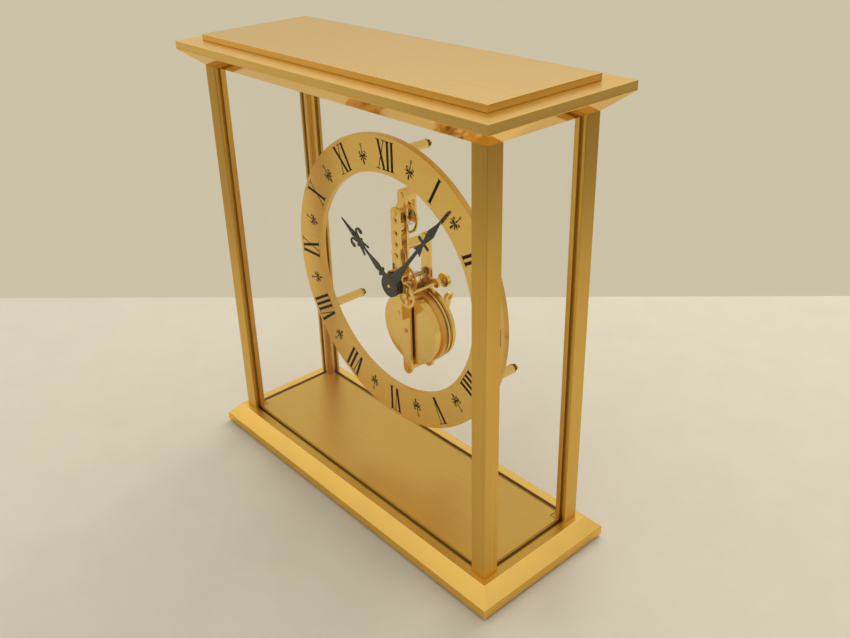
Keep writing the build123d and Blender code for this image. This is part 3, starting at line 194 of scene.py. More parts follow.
def brushed(name, base, direction, roughness, spread=0.7, mitre=None):
    """Brass brushed in straight lines and lacquered.

    Fine streaks, lighter and darker, blur what it mirrors. The direction is 0, 1 or 2 for X, Y or Z. The
    spread, from 0 to 1, draws reflections out across the lines. A mitre is half of a plate's width less its
    depth: past the diagonals at the plate's ends, the lines turn to Y.
    """
    size = sizes()
    material, tree, shader = shaded(name, {"Metallic": 1.0, "Anisotropic": spread})
    place = add(tree, "ShaderNodeTexCoord").outputs["Object"]
    lay = add(tree, "ShaderNodeCombineXYZ", None, dict(zip("XYZ", LAYS[direction]))).outputs[0]

    def streaks(axis):
        scale = [1 / size.brush_line] * 3
        scale[axis] = 1 / size.brush_run
        lines = add(tree, "ShaderNodeMapping", None, {"Vector": place, "Scale": scale}).outputs["Vector"]
        return add(tree, "ShaderNodeTexNoise", None,
                   {"Vector": lines, "Scale": 1.0, "Detail": 3.0, "Roughness": 0.65}).outputs["Fac"]

    grain = streaks(direction)
    if mitre is not None:
        spot = add(tree, "ShaderNodeSeparateXYZ", None, {0: place})
        wide = add(tree, "ShaderNodeMath", {"operation": "ABSOLUTE"}, {0: spot.outputs["X"]}).outputs[0]
        deep = add(tree, "ShaderNodeMath", {"operation": "ABSOLUTE"}, {0: spot.outputs["Y"]}).outputs[0]
        gap = add(tree, "ShaderNodeMath", {"operation": "SUBTRACT"}, {0: wide, 1: deep}).outputs[0]
        side = add(tree, "ShaderNodeMath", {"operation": "GREATER_THAN"}, {0: gap, 1: mitre}).outputs[0]
        grain = add(tree, "ShaderNodeMix", {"data_type": "FLOAT"},
                    {0: side, 2: grain, 3: streaks(1)}).outputs[0]
        lay = add(tree, "ShaderNodeMix", {"data_type": "VECTOR"}, {0: side, 4: lay, 5: LAYS[1]}).outputs[1]
    normal = add(tree, "ShaderNodeNewGeometry").outputs["Normal"]
    across = add(tree, "ShaderNodeVectorMath", {"operation": "CROSS_PRODUCT"}, {0: normal, 1: lay})
    tree.links.new(across.outputs[0], shader.inputs["Tangent"])
    dark = Vector(base) * LINE_DARK
    light = Vector(base) * LINE_LIGHT
    tone = add(tree, "ShaderNodeMapRange", None,
               {0: grain, 1: NOISE_LOW, 2: NOISE_HIGH, 3: 0.0, 4: 1.0}).outputs[0]
    tint = add(tree, "ShaderNodeMix", {"data_type": "RGBA"},
               {0: tone, 6: (*dark, 1.0), 7: (*light, 1.0)}).outputs[2]
    tree.links.new(tint, shader.inputs["Base Color"])
    blur = add(tree, "ShaderNodeMapRange", None,
               {0: grain, 1: NOISE_LOW, 2: NOISE_HIGH,
                3: roughness + LINE_BLUR, 4: roughness - LINE_BLUR}).outputs[0]
    tree.links.new(blur, shader.inputs["Roughness"])
    bump = add(tree, "ShaderNodeBump", None, {"Strength": 0.08, "Distance": LINE_DEPTH, "Height": grain})
    tree.links.new(bump.outputs["Normal"], shader.inputs["Normal"])
    return material


def worked(name, base, roughness, spot, sway, dent, **values):
    """A material whose colour, gloss and surface waver in soft spots of one size, as a worked surface does.

    sway is how far the colour and the roughness swing about their middle. spot is the spots' size and dent
    their depth, both in millimetres.
    """
    named = {key.replace("_", " ").title().replace("Ior", "IOR"): value for key, value in values.items()}
    material, tree, shader = shaded(name, named)
    place = add(tree, "ShaderNodeTexCoord").outputs["Object"]
    cloud = add(tree, "ShaderNodeTexNoise", None,
                {"Vector": place, "Scale": 1 / (spot * MM), "Detail": 4.0, "Roughness": 0.6}).outputs["Fac"]
    swing = add(tree, "ShaderNodeMapRange", None,
                {0: cloud, 1: NOISE_LOW, 2: NOISE_HIGH, 3: 0.0, 4: 1.0}).outputs[0]
    dark = Vector(base) * (1 - sway)
    light = Vector(base) * (1 + sway)
    tint = add(tree, "ShaderNodeMix", {"data_type": "RGBA"},
               {0: swing, 6: (*dark, 1.0), 7: (*light, 1.0)}).outputs[2]
    tree.links.new(tint, shader.inputs["Base Color"])
    shader.inputs["Roughness"].default_value = roughness
    if roughness > 0:
        blur = add(tree, "ShaderNodeMapRange", None,
                   {0: swing, 3: roughness * (1 + sway), 4: roughness * (1 - sway)}).outputs[0]
        tree.links.new(blur, shader.inputs["Roughness"])
    bump = add(tree, "ShaderNodeBump", None, {"Strength": 0.3, "Distance": dent * MM, "Height": cloud})
    tree.links.new(bump.outputs["Normal"], shader.inputs["Normal"])
    return material


# Tints of clear glass, and of buffed brass seen at a slant.
CLEAR = linear("#fefefe")
SLANT = linear("#fff1ce")


def make_materials():
    """Every finish of the clock, by a short name."""
    tint = finishes()
    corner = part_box("base_plinth")[1]
    mitre = corner.x - corner.y
    return {
        # Brass brushed lengthwise and lacquered: satin gold that mirrors the room in soft bands.
        "along": brushed("Satin brass brushed along", tint.satin_brass, direction=0, roughness=0.22,
                         spread=0.5),
        # Brass brushed upright with a coarser belt: the same gold, with hardly more than a sheen.
        "upright": brushed("Satin brass brushed upright", tint.satin_brass, direction=2, roughness=0.42,
                           spread=0.3),
        # Brass brushed along each side of a plate: its sheen changes where the sides meet.
        "mitred": brushed("Satin brass brushed to a mitre", tint.satin_brass, direction=0, roughness=0.34,
                          mitre=mitre),
        # Brass brushed and then gilt: paler and even, so that black print stands out on it.
        "dial": brushed("Gilt brass brushed along", tint.dial_and_painted_lighter_edge_brass, direction=0, roughness=0.34),
        # A narrow edge brushed along its length, with reflections drawn far out across it. Its pale colour,
        # lighter than the case brass it belongs to, is painted light.
        "edge": brushed("Satin brass brushed along an edge", tint.dial_and_painted_lighter_edge_brass, direction=0, roughness=0.4,
                        spread=0.9),
        # Buffed brass: a warm mirror with hardly any blur, a little uneven from the wheel.
        "polished": worked("Polished brass", tint.polished_brass, roughness=0.07, spot=12.0, sway=0.03,
                           dent=0.01, metallic=1.0, specular_tint=(*SLANT, 1.0)),
        # Gilt and lapped brass: a fine frosted grain that mirrors the room softly.
        "gilt": worked("Gilt brass", tint.gilt_brass, roughness=0.2, spot=0.5, sway=0.06, dent=0.004,
                       metallic=1.0),
        # Ground steel: a warm grey, a little blurred, with grinding marks.
        "steel": worked("Ground steel", tint.steel, roughness=0.24, spot=0.4, sway=0.08, dent=0.004,
                        metallic=1.0),
        # Stoved lacquer: near black with a soft sheen at a slant.
        "black": worked("Black lacquer", tint.black, roughness=0.36, spot=0.8, sway=0.15, dent=0.006,
                        coat_weight=0.25, coat_roughness=0.2),
        # Printing ink: dull black, a little patchy.
        "ink": worked("Black printing ink", tint.black, roughness=0.6, spot=0.3, sway=0.2, dent=0.004,
                      specular_ior_level=0.15),
        # Coated glass: clear, with thin reflections and a faint ripple.
        "glass": worked("Anti-reflection coated glass", CLEAR, roughness=0.0, spot=60.0, sway=0.01,
                        dent=0.002, transmission_weight=1.0, ior=1.1),
        # Pressed felt: dark, without gloss, with tufts.
        "felt": worked("Dark felt", tint.felt, roughness=0.9, spot=0.5, sway=0.3, dent=0.2),
        # Vulcanised fibre: brown, half dull, flecked.
        "fibre": worked("Vulcanised fibre", tint.fibre, roughness=0.6, spot=0.3, sway=0.2, dent=0.02),
        # Synthetic ruby: deep red and glassy, with clouds inside.
        "ruby": worked("Synthetic ruby", tint.ruby, roughness=0.06, spot=0.6, sway=0.15, dent=0.0,
                       coat_weight=0.5),
    }


def finish_of(name):
    """A finish that has been made, by its material's full name."""
    return bpy.data.materials[name]


def slot_of(node):
    """The record's material slot of a CAD node."""
    for row in frame["record"]["subparts"]:
        if row["node"] == node:
            return row["material_slot"]
    raise ValueError(f"no slot holds {node}")


def body_of(node):
    """The moving body that a CAD node belongs to."""
    return frame["nodes"][node]["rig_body"]


def paint(obj, material):
    """Puts a material on an object's own slots and leaves its mesh as it is."""
    if not obj.material_slots:
        obj.data.materials.append(None)
    for place in obj.material_slots:
        place.link = "OBJECT"
        place.material = material


def settle(obj):
    """Turns an object with modifiers into a plain mesh object."""
    graph = bpy.context.evaluated_depsgraph_get()
    mesh = bpy.data.meshes.new_from_object(obj.evaluated_get(graph), depsgraph=graph)
    obj.modifiers.clear()
    obj.data = mesh
    mesh.name = obj.name
    return obj


def link(name, data):
    """A new object in the scene."""
    obj = bpy.data.objects.new(name, data)
    bpy.context.scene.collection.objects.link(obj)
    return obj


# Points closer than this are one, and faces that bend less than this are one flat face.
WELD = 0.002 * MM
FLAT_ANGLE = math.radians(0.4)
# Edges that bend more than the first are rounded, in this many steps; past the second, shading breaks.
ROUND_ANGLE = math.radians(28)
ROUND_STEPS = 2
SHARP_ANGLE = math.radians(38)


def dress(node, materials, edge, least=0.0, pick=None):
    """A copy of a CAD node with merged faces and rounded edges, which stands for the node.

    Only edges longer than least are rounded. pick gives the number of a face's material by its normal and
    its middle.
    """
    bm = bmesh.new()
    bm.from_mesh(frame["nodes"][node].data)
    bmesh.ops.remove_doubles(bm, verts=bm.verts, dist=WELD)
    bmesh.ops.dissolve_limit(bm, angle_limit=FLAT_ANGLE, verts=bm.verts, edges=bm.edges)
    bm.normal_update()
    for face in bm.faces:
        face.material_index = pick(face.normal, face.calc_center_median()) if pick else 0
    sharp = [e for e in bm.edges if len(e.link_faces) == 2 and e.calc_length() > least
             and e.calc_face_angle(0.0) > ROUND_ANGLE]
    bmesh.ops.bevel(bm, geom=sharp, offset=edge, offset_type="OFFSET", segments=ROUND_STEPS, profile=0.5,
                    affect="EDGES", clamp_overlap=False, material=-1, miter_outer="ARC")
    mesh = bpy.data.meshes.new(node + "_dressed")
    bm.to_mesh(mesh)
    bm.free()
    for material in materials:
        mesh.materials.append(material)
    mesh.shade_smooth()
    mesh.set_sharp_from_angle(angle=SHARP_ANGLE)
    obj = link(node + "_dressed", mesh)
    weighted = obj.modifiers.new("Weighted", "WEIGHTED_NORMAL")
    weighted.keep_sharp = True
    settle(obj)
    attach(obj, body_of(node))
    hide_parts(node)
    return obj


class CLOCK_OT_finishes(bpy.types.Operator):
    """Make the materials and put one on every CAD piece"""

    bl_idname = "clock.finishes"
    bl_label = "Finishes"

    def execute(self, context):
        made = make_materials()
        by_slot = {"brass_satin": "along", "gilt_brass": "gilt", "steel": "steel", "black_hand": "black",
                   "glass": "glass", "felt": "felt", "fibre": "fibre", "ruby": "ruby"}
        for node, obj in frame["nodes"].items():
            paint(obj, made[by_slot[slot_of(node)]])
        return {"FINISHED"}


# The border of the plinth and the cornice that holds their outer faces.
CASE_BORDER = 7 * MM
# The shortest edge of the case that is rounded, so that its small holes and notches stay crisp.
CASE_LEAST_EDGE = 3 * MM
# Upward shares of a face's normal: an upright face stays within the first, a top face is past the second,
# and the cornice's under bevel lies between the last two.
UPRIGHT = 0.1
TOPMOST = 0.9
BEVEL_LOW = -0.95
BEVEL_HIGH = -0.2


class CLOCK_OT_case(bpy.types.Operator):
    """Round the case's edges and give its faces their brushed and polished finishes"""

    bl_idname = "clock.case"
    bl_label = "Case"

    def execute(self, context):
        size = sizes()
        along = finish_of("Satin brass brushed along")
        upright = finish_of("Satin brass brushed upright")
        mitred = finish_of("Satin brass brushed to a mitre")
        polished = finish_of("Polished brass")
        edge = finish_of("Satin brass brushed along an edge")
        plinth_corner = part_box("base_plinth")[1]
        cornice_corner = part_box("cornice")[1]

        def plinth_face(normal, middle):
            return 1 if normal.z < TOPMOST and self.outside(middle, plinth_corner) else 0

        # Upright faces in the cornice's border take the edge finish, painted lighter than the brass around
        # them.
        def cornice_face(normal, middle):
            if abs(normal.z) < UPRIGHT and self.outside(middle, cornice_corner):
                return 2
            return 1 if BEVEL_LOW < normal.z < BEVEL_HIGH else 0

        # The cap's upright faces take the edge finish, painted lighter than its top.
        def cap_face(normal, middle):
            return 1 if abs(normal.z) < UPRIGHT else 0

        dress("base_plinth", [mitred, polished], size.case_edge, CASE_LEAST_EDGE, plinth_face)
        dress("cornice", [mitred, polished, edge], size.case_edge, CASE_LEAST_EDGE, cornice_face)
        dress("cap_plate", [along, edge], size.case_edge, CASE_LEAST_EDGE, cap_face)
        dress("floor_plate", [finish_of("Gilt brass brushed along")], size.plate_edge, CASE_LEAST_EDGE)
        dress("foot_pads", [finish_of("Dark felt")], size.case_edge)
        for side in ("front_left", "front_right", "rear_left", "rear_right"):
            dress("pillar_" + side, [upright], size.case_edge, CASE_LEAST_EDGE)
        return {"FINISHED"}

    def outside(self, middle, corner):
        """Whether a face's middle lies in the outer border of a rectangular plate."""
        return corner.x - abs(middle.x) < CASE_BORDER or corner.y - abs(middle.y) < CASE_BORDER


class CLOCK_OT_glass(bpy.types.Operator):
    """Let light through the four panes"""

    bl_idname = "clock.glass"
    bl_label = "Glass"

    def execute(self, context):
        for side in ("front", "left", "right", "rear"):
            frame["nodes"]["glass_" + side].visible_shadow = False
        return {"FINISHED"}


def prism(bm, outline, front, back):
    """Adds a closed prism of an anticlockwise outline in X and Z, from front to back in Y."""
    near = [bm.verts.new((x, front, z)) for x, z in outline]
    far = [bm.verts.new((x, back, z)) for x, z in outline]
    count = len(outline)
    bm.faces.new(near)
    bm.faces.new(far[::-1])
    for i in range(count):
        j = (i + 1) % count
        bm.faces.new((near[j], near[i], far[i], far[j]))


def stroke(top, foot, width, height):
    """The outline of a numeral's stroke from its foot's middle to its top's middle."""
    half = width / 2
    return [(foot - half, 0.0), (foot + half, 0.0), (top + half, height), (top - half, height)]


def serif(middle, level, reach, thick):
    """The outline of a serif, with its foot at a level."""
    return [(middle - reach, level), (middle + reach, level), (middle + reach, level + thick),
            (middle - reach, level + thick)]


HOURS = ("XII", "I", "II", "III", "IIII", "V", "VI", "VII", "VIII", "IX", "X", "XI")
# Widths of the letters and the space at each side of a V and an X, in stem pitches.
LETTER_WIDTHS = {"I": 1.0, "V": 1.8, "X": 2.1}
LETTER_SPACE = 0.35
# How far the thin stroke of a V stands beside its point, in stem widths.
V_THIN_SHIFT = 0.3


def numeral(text, size):
    """Outlines of a Roman numeral's strokes and serifs, its foot at zero and its middle at zero."""
    high = size.numeral_height
    thick = size.stem_width
    thin = size.hair_width
    flat = size.serif_height
    widths = {letter: share * size.stem_pitch for letter, share in LETTER_WIDTHS.items()}
    at = -sum(widths[letter] for letter in text) / 2
    shapes = []
    for letter in text:
        middle = at + widths[letter] / 2
        half = widths[letter] / 2 - LETTER_SPACE * size.stem_pitch
        at += widths[letter]
        if letter == "I":
            strokes = [(middle, middle, thick)]
            ends = [(middle, 0.0), (middle, high - flat)]
        elif letter == "V":
            strokes = [(middle - half, middle, thick), (middle + half, middle + V_THIN_SHIFT * thick, thin)]
            ends = [(middle - half, high - flat), (middle + half, high - flat)]
        else:
            strokes = [(middle - half, middle + half, thick), (middle + half, middle - half, thin)]
            ends = [(middle + s * half, level) for s in (-1, 1) for level in (0.0, high - flat)]
        shapes += [stroke(top, foot, width, high) for top, foot, width in strokes]
        shapes += [serif(where, level, size.serif_reach, flat) for where, level in ends]
    return shapes


def merged(obj):
    """Unites an object's overlapping prisms into closed shapes, by a node tree that is then applied."""
    tree = bpy.data.node_groups.new(obj.name, "GeometryNodeTree")
    tree.interface.new_socket("Geometry", in_out="INPUT", socket_type="NodeSocketGeometry")
    tree.interface.new_socket("Geometry", in_out="OUTPUT", socket_type="NodeSocketGeometry")
    start = add(tree, "NodeGroupInput").outputs[0]
    union = add(tree, "GeometryNodeMeshBoolean", {"operation": "UNION", "solver": "EXACT"},
                {"Mesh 2": start, "Self Intersection": True})
    inked = add(tree, "GeometryNodeSetMaterial", None,
                {0: union.outputs[0], "Material": finish_of("Black printing ink")})
    add(tree, "NodeGroupOutput", None, {0: inked.outputs[0]})
    obj.modifiers.new("Merged", "NODES").node_group = tree
    return settle(obj)


class CLOCK_OT_ring(bpy.types.Operator):
    """Round the ring's edges and print its numerals"""

    bl_idname = "clock.ring"
    bl_label = "Ring"

    def execute(self, context):
        size = sizes()
        dress("chapter_ring", [finish_of("Gilt brass brushed along")], size.plate_edge)
        low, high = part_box("chapter_ring")
        middle = (low + high) / 2
        bm = bmesh.new()
        for hour, word in enumerate(HOURS):
            turn = math.radians(360 / len(HOURS) * hour)
            for shape in numeral(word, size):
                outline = []
                for across, up in shape:
                    out = size.numeral_foot + up
                    outline.append((middle.x + out * math.sin(turn) + across * math.cos(turn),
                                    middle.z + out * math.cos(turn) - across * math.sin(turn)))
                prism(bm, outline, low.y - size.print_height, low.y + size.print_height)
        mesh = bpy.data.meshes.new("numerals")
        bm.to_mesh(mesh)
        bm.free()
        obj = merged(link("numerals", mesh))
        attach(obj, "clock_case")
        return {"FINISHED"}


# The half-hour ornament, in millimetres about its star's middle, with upwards outwards. A petal has its
# angle from the upward line in degrees, its reach and its width. A dot has its place and its radius.
PETALS = ((180, 4.1, 1.0), (132, 2.9, 0.75), (-132, 2.9, 0.75), (0, 3.2, 0.62))
PETAL_ROOT = 0.12
PETAL_FULLNESS = 1.6
PETAL_STEPS = 7
STAR = (0.0, 0.0, 0.5)
# Petals, dots and a scroll on the right-hand side, which the left-hand side mirrors.
SIDE_PETALS = ((52, 1.9, 0.6), (93, 2.7, 0.42))
SIDE_DOTS = ((1.65, 2.0, 0.38), (2.75, -0.15, 0.3))
SCROLL = ((0.0, 0.0), (0.9, 0.15), (1.7, 0.55), (2.3, 1.2), (2.45, 1.85), (2.1, 2.2), (1.7, 2.0))
SCROLL_WIDTHS = (0.5, 0.5, 0.5, 0.5, 0.5, 0.4, 0.4)
DOT_STEPS = 14
# The stem, and the eye at its end: the middle's height, the radius and the width of its line.
STEM = ((0.0, 2.6), (0.0, 4.8))
STEM_WIDTH = 0.42
EYE_HEIGHT = 5.3
EYE_RADIUS = 0.55
EYE_WIDTH = 0.36
EYE_STEPS = 16
# The first ornament's turn: half of an hour's.
HALF_HOUR = math.pi / len(HOURS)


def ribbon(points, widths):
    """The outline of a bent stroke through points, with a width at each."""
    left = []
    right = []
    for i, (x, z) in enumerate(points):
        x0, z0 = points[max(i - 1, 0)]
        x1, z1 = points[min(i + 1, len(points) - 1)]
        reach = widths[i] / 2 / math.hypot(x1 - x0, z1 - z0)
        left.append((x - (z1 - z0) * reach, z + (x1 - x0) * reach))
        right.append((x + (z1 - z0) * reach, z - (x1 - x0) * reach))
    return right + left[::-1]


def disc(x, z, radius):
    """The outline of a round dot."""
    turns = [2 * math.pi * i / DOT_STEPS for i in range(DOT_STEPS)]
    return [(x + radius * math.cos(turn), z + radius * math.sin(turn)) for turn in turns]


def petal(angle, reach, wide):
    """The outline of a drop from the middle outwards, at an angle from the upward line."""
    turn = math.radians(angle)
    shares = [i / PETAL_STEPS for i in range(PETAL_STEPS + 1)]
    points = [(reach * share * math.sin(turn), reach * share * math.cos(turn)) for share in shares]
    widths = [PETAL_ROOT + wide * math.sin(math.pi * share ** PETAL_FULLNESS) for share in shares]
    return ribbon(points, widths)


def ornament_shapes():
    """Outlines of the pieces of the half-hour ornament."""
    shapes = [petal(*row) for row in PETALS]
    shapes.append(disc(*STAR))
    for side in (-1, 1):
        # The left-hand scroll runs from its tip, so that both outlines turn the same way.
        shapes.append(ribbon([(side * x, z) for x, z in SCROLL][::side], SCROLL_WIDTHS[::side]))
        shapes += [disc(side * x, z, radius) for x, z, radius in SIDE_DOTS]
        shapes += [petal(side * angle, reach, wide) for angle, reach, wide in SIDE_PETALS]
    shapes.append(ribbon(STEM, [STEM_WIDTH] * len(STEM)))
    turns = [2 * math.pi * i / EYE_STEPS for i in range(EYE_STEPS + 1)]
    eye = [(EYE_RADIUS * math.sin(turn), EYE_HEIGHT - EYE_RADIUS * math.cos(turn)) for turn in turns]
    shapes += [ribbon(eye[i:i + 2], [EYE_WIDTH] * 2) for i in range(EYE_STEPS)]
    return shapes


class CLOCK_OT_ornaments(bpy.types.Operator):
    """Set the half-hour ornament between the numerals, all round the ring"""

    bl_idname = "clock.ornaments"
    bl_label = "Ornaments"

    def execute(self, context):
        size = sizes()
        low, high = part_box("chapter_ring")
        middle = (low + high) / 2
        bm = bmesh.new()
        for shape in ornament_shapes():
            prism(bm, [(x * MM, z * MM) for x, z in shape], -size.print_height, size.print_height)
        bmesh.ops.recalc_face_normals(bm, faces=bm.faces)
        mesh = bpy.data.meshes.new("ornament")
        bm.to_mesh(mesh)
        bm.free()
        motif = merged(link("ornament", mesh))
        bpy.context.scene.collection.objects.unlink(motif)
        obj = link("ornaments", bpy.data.meshes.new("ornaments"))
        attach(self.spread(obj, motif, (middle.x, low.y, middle.z)), "clock_case")
        bpy.data.objects.remove(motif)
        return {"FINISHED"}

    def spread(self, obj, motif, centre):
        """Copies the motif to the half hours by a node tree, which is then applied."""
        size = sizes()
        tree = bpy.data.node_groups.new("Half_hour_ornaments", "GeometryNodeTree")
        wanted = {
            "Count": ("NodeSocketInt", size.ornament_count),
            "Radius": ("NodeSocketFloat", size.ornament_radius),
            "Motif": ("NodeSocketObject", motif),
            "Centre": ("NodeSocketVector", centre),
        }
        tree.interface.new_socket("Geometry", in_out="INPUT", socket_type="NodeSocketGeometry")
        sockets = {label: tree.interface.new_socket(label, in_out="INPUT", socket_type=kind).identifier
                   for label, (kind, _) in wanted.items()}
        tree.interface.new_socket("Geometry", in_out="OUTPUT", socket_type="NodeSocketGeometry")
        given = add(tree, "NodeGroupInput").outputs
        index = add(tree, "GeometryNodeInputIndex").outputs[0]
        step = add(tree, "ShaderNodeMath", {"operation": "DIVIDE"},
                   {0: 2 * math.pi, 1: given["Count"]}).outputs[0]
        turn = add(tree, "ShaderNodeMath", {"operation": "MULTIPLY_ADD"},
                   {0: index, 1: step, 2: HALF_HOUR}).outputs[0]
        sine = add(tree, "ShaderNodeMath", {"operation": "SINE"}, {0: turn}).outputs[0]
        cosine = add(tree, "ShaderNodeMath", {"operation": "COSINE"}, {0: turn}).outputs[0]
        way = add(tree, "ShaderNodeCombineXYZ", None, {"X": sine, "Z": cosine}).outputs[0]
        place = add(tree, "ShaderNodeVectorMath", {"operation": "MULTIPLY_ADD"},
                    {0: way, 1: given["Radius"], 2: given["Centre"]}).outputs[0]
        points = add(tree, "GeometryNodePoints", None,
                     {"Count": given["Count"], "Position": place}).outputs[0]
        angles = add(tree, "ShaderNodeCombineXYZ", None, {"Y": turn}).outputs[0]
        shape = add(tree, "GeometryNodeObjectInfo", {"transform_space": "ORIGINAL"},
                    {"Object": given["Motif"]}).outputs["Geometry"]
        copies = add(tree, "GeometryNodeInstanceOnPoints", None,
                     {"Points": points, "Instance": shape, "Rotation": angles}).outputs[0]
        real = add(tree, "GeometryNodeRealizeInstances", None, {0: copies}).outputs[0]
        inked = add(tree, "GeometryNodeSetMaterial", None,
                    {0: real, "Material": finish_of("Black printing ink")}).outputs[0]
        add(tree, "NodeGroupOutput", None, {0: inked})
        modifier = obj.modifiers.new("Ornaments", "NODES")
        modifier.node_group = tree
        for label, identifier in sockets.items():
            modifier[identifier] = wanted[label][1]
        return settle(obj)


class CLOCK_OT_hands(bpy.types.Operator):
    """Round the hands' edges and lacquer them"""

    bl_idname = "clock.hands"
    bl_label = "Hands"

    def execute(self, context):
        for node in ("hour_hand", "minute_hand"):
            dress(node, [finish_of("Black lacquer")], sizes().hand_edge)
        return {"FINISHED"}


class CLOCK_OT_movement(bpy.types.Operator):
    """Round the edges of the movement's plates, posts, barrel, key and knob"""

    bl_idname = "clock.movement"
    bl_label = "Movement"

    def execute(self, context):
        gilt = finish_of("Gilt brass")
        for node in ("train_bridge", "main_plate", "rear_plate", "balance_cock", "winding_key",
                     "ring_posts", "movement_pillars"):
            dress(node, [gilt], sizes().plate_edge)
        for node in ("barrel_drum", "setting_knob"):
            dress(node, [gilt], sizes().fine_edge)
        return {"FINISHED"}


# Two points on the table's far edge, how far the table runs on past each, and its depth, in metres.
TABLE_LEFT = Vector((-0.3598, -0.0757, 0.0))
TABLE_RIGHT = Vector((0.0646, 0.3579, 0.0))
TABLE_PAST_LEFT = 0.05
TABLE_PAST_RIGHT = 0.18
TABLE_DEPTH = 0.62
# The way to the wall, the light from above as it fades from the wall's side to the far side of the room,
# and how squarely a way has to face the wall to meet it in full.
WALL_WAY = (-0.77, 0.64, 0.0)
LIGHT_AT_WALL = 1.06
LIGHT_AT_FAR_SIDE = 0.74
WALL_FULL = 0.35
# Heights, as sines of the slope, where the light from above begins and where it is full.
RISE_AT_WALL = (0.2, 0.32)
RISE_AT_FAR_SIDE = (0.1, 0.55)
# The lamp in metres and watts.
LAMP_PLACE = Vector((-0.3, 1.0, 0.95))
LAMP_AIM = Vector((0.0, 0.0, 0.1))
LAMP_SIZE = 0.9
LAMP_POWER = 7.5
# The camera in metres and degrees, its sensor's width in millimetres and the shift of its picture.
CAMERA_PLACE = Vector((0.304973, -0.246286, 0.302753))
CAMERA_TURN = (63.8795, 1.9045, 49.0597)
CAMERA_SENSOR = 36.0
CAMERA_SHIFT = (0.02507, -0.0412)
CAMERA_NEAR = 0.01
CAMERA_FAR = 50.0


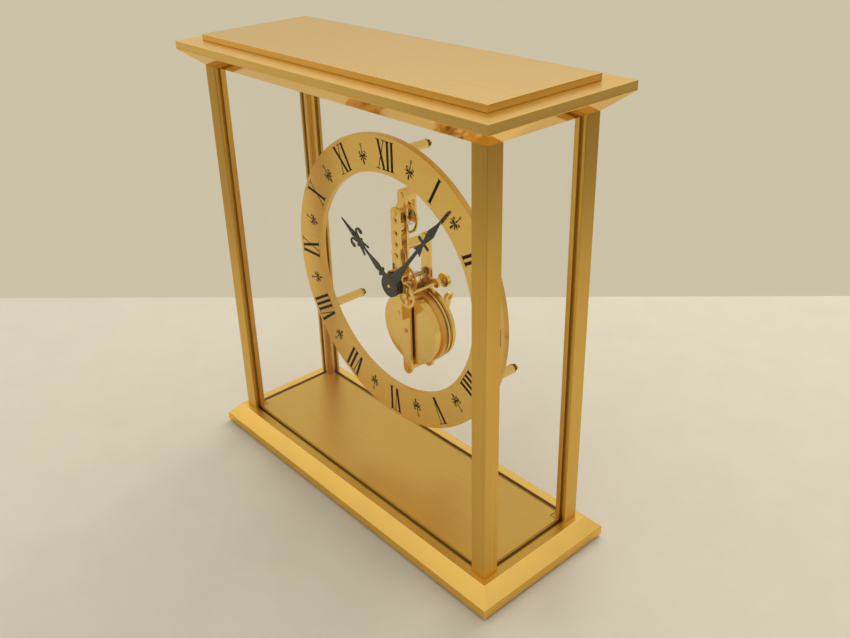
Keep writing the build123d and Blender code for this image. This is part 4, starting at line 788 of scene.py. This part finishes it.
class CLOCK_OT_stage(bpy.types.Operator):
    """Set the table, the wall, the light and the camera"""

    bl_idname = "clock.stage"
    bl_label = "Stage"

    def execute(self, context):
        self.table()
        self.room()
        self.lamp()
        self.camera()
        context.scene.view_settings.view_transform = "Standard"
        return {"FINISHED"}

    def table(self):
        """A table top whose far edge runs behind the clock."""
        along = (TABLE_RIGHT - TABLE_LEFT).normalized()
        near = Vector((along.y, -along.x, 0)) * TABLE_DEPTH
        far_left = TABLE_LEFT - along * TABLE_PAST_LEFT
        far_right = TABLE_RIGHT + along * TABLE_PAST_RIGHT
        mesh = bpy.data.meshes.new("table")
        mesh.from_pydata([far_left + near, far_right + near, far_right, far_left], [], [(0, 1, 2, 3)])
        # Laminate: pale and half dull, with a faint cloudy print.
        mesh.materials.append(worked("Pale laminate table", finishes().table, roughness=0.6, spot=25.0,
                                     sway=0.02, dent=0.01))
        link("table", mesh)

    def room(self):
        """A plain wall to the eye, and to the clock a room lit from above and dim on its far side."""
        world = bpy.data.worlds.new("Room")
        world.use_nodes = True
        bpy.context.scene.world = world
        tree = world.node_tree
        tree.nodes.clear()
        wall, gloom = ((*c, 1.0) for c in (finishes().wall, finishes().gloom))
        way = add(tree, "ShaderNodeTexCoord").outputs["Generated"]
        height = add(tree, "ShaderNodeSeparateXYZ", None, {0: way}).outputs["Z"]
        facing = add(tree, "ShaderNodeVectorMath", {"operation": "DOT_PRODUCT"},
                     {0: way, 1: WALL_WAY}).outputs["Value"]
        share = add(tree, "ShaderNodeMapRange", None,
                    {0: facing, 1: -1.0, 2: 1.0, 3: LIGHT_AT_FAR_SIDE, 4: LIGHT_AT_WALL}).outputs[0]
        above = add(tree, "ShaderNodeVectorMath", {"operation": "SCALE"},
                    {0: finishes().daylight, "Scale": share}).outputs[0]
        near_wall = add(tree, "ShaderNodeMapRange", {"interpolation_type": "SMOOTHSTEP"},
                        {0: facing, 1: 0.0, 2: WALL_FULL, 3: 0.0, 4: 1.0}).outputs[0]
        around = add(tree, "ShaderNodeMix", {"data_type": "RGBA"},
                     {0: near_wall, 6: gloom, 7: wall}).outputs[2]
        low = add(tree, "ShaderNodeMapRange", None,
                  {0: near_wall, 3: RISE_AT_FAR_SIDE[0], 4: RISE_AT_WALL[0]}).outputs[0]
        high = add(tree, "ShaderNodeMapRange", None,
                   {0: near_wall, 3: RISE_AT_FAR_SIDE[1], 4: RISE_AT_WALL[1]}).outputs[0]
        rise = add(tree, "ShaderNodeMapRange", {"interpolation_type": "SMOOTHSTEP"},
                   {0: height, 1: low, 2: high, 3: 0.0, 4: 1.0}).outputs[0]
        lit = add(tree, "ShaderNodeMix", {"data_type": "RGBA"}, {0: rise, 6: around, 7: above}).outputs[2]
        ray = add(tree, "ShaderNodeLightPath").outputs
        seen = add(tree, "ShaderNodeMath", {"operation": "MAXIMUM"},
                   {0: ray["Is Camera Ray"], 1: ray["Is Transmission Ray"]}).outputs[0]
        shown = add(tree, "ShaderNodeMix", {"data_type": "RGBA"}, {0: seen, 6: lit, 7: wall}).outputs[2]
        level = add(tree, "ShaderNodeBackground", None, {"Color": shown, "Strength": 1.0})
        add(tree, "ShaderNodeOutputWorld", None, {"Surface": level.outputs[0]})

    def lamp(self):
        """A soft lamp behind the clock, which gives it a shadow on the table but no glare on the brass."""
        lamp = bpy.data.lights.new("key_lamp", "AREA")
        lamp.shape = "SQUARE"
        lamp.size = LAMP_SIZE
        lamp.energy = LAMP_POWER
        lamp.color = finishes().daylight
        obj = link("key_lamp", lamp)
        obj.location = LAMP_PLACE
        obj.rotation_euler = (LAMP_AIM - LAMP_PLACE).to_track_quat("-Z", "Y").to_euler()
        obj.visible_glossy = False
        obj.visible_transmission = False

    def camera(self):
        """The camera of the main picture, above the clock's front right corner."""
        data = bpy.data.cameras.new("camera")
        data.sensor_width = CAMERA_SENSOR
        data.lens = sizes().lens
        data.shift_x, data.shift_y = CAMERA_SHIFT
        data.clip_start = CAMERA_NEAR
        data.clip_end = CAMERA_FAR
        obj = link("camera", data)
        turn = Euler([math.radians(angle) for angle in CAMERA_TURN])
        obj.matrix_world = Matrix.LocRotScale(CAMERA_PLACE, turn, None)
        bpy.context.scene.camera = obj


class CLOCK_PT_panel(bpy.types.Panel):
    """Sizes, colours and steps of the clock's looks"""

    bl_idname = "CLOCK_PT_panel"
    bl_label = "Mantel Clock"
    bl_space_type = "VIEW_3D"
    bl_region_type = "UI"
    bl_category = "Clock"

    def draw(self, context):
        for group in (context.scene.clock_sizes, context.scene.clock_finishes):
            column = self.layout.column()
            for prop in group.bl_rna.properties:
                if not prop.is_readonly and prop.identifier != "name":
                    column.prop(group, prop.identifier)
        for step in STEPS:
            self.layout.operator(step.bl_idname)


STEPS = (CLOCK_OT_finishes, CLOCK_OT_case, CLOCK_OT_glass, CLOCK_OT_ring, CLOCK_OT_ornaments,
         CLOCK_OT_hands, CLOCK_OT_movement, CLOCK_OT_stage)
CLASSES = (ClockSizes, ClockFinishes, *STEPS, CLOCK_PT_panel)


def register():
    for cls in CLASSES:
        bpy.utils.register_class(cls)
    bpy.types.Scene.clock_sizes = PointerProperty(type=ClockSizes)
    bpy.types.Scene.clock_finishes = PointerProperty(type=ClockFinishes)


def unregister():
    del bpy.types.Scene.clock_finishes
    del bpy.types.Scene.clock_sizes
    for cls in reversed(CLASSES):
        bpy.utils.unregister_class(cls)


def main():
    register()
    bpy.ops.clock.finishes()
    bpy.ops.clock.case()
    bpy.ops.clock.glass()
    bpy.ops.clock.ring()
    bpy.ops.clock.ornaments()
    bpy.ops.clock.hands()
    bpy.ops.clock.movement()
    bpy.ops.clock.stage()


if __name__ == "__main__":
    main()
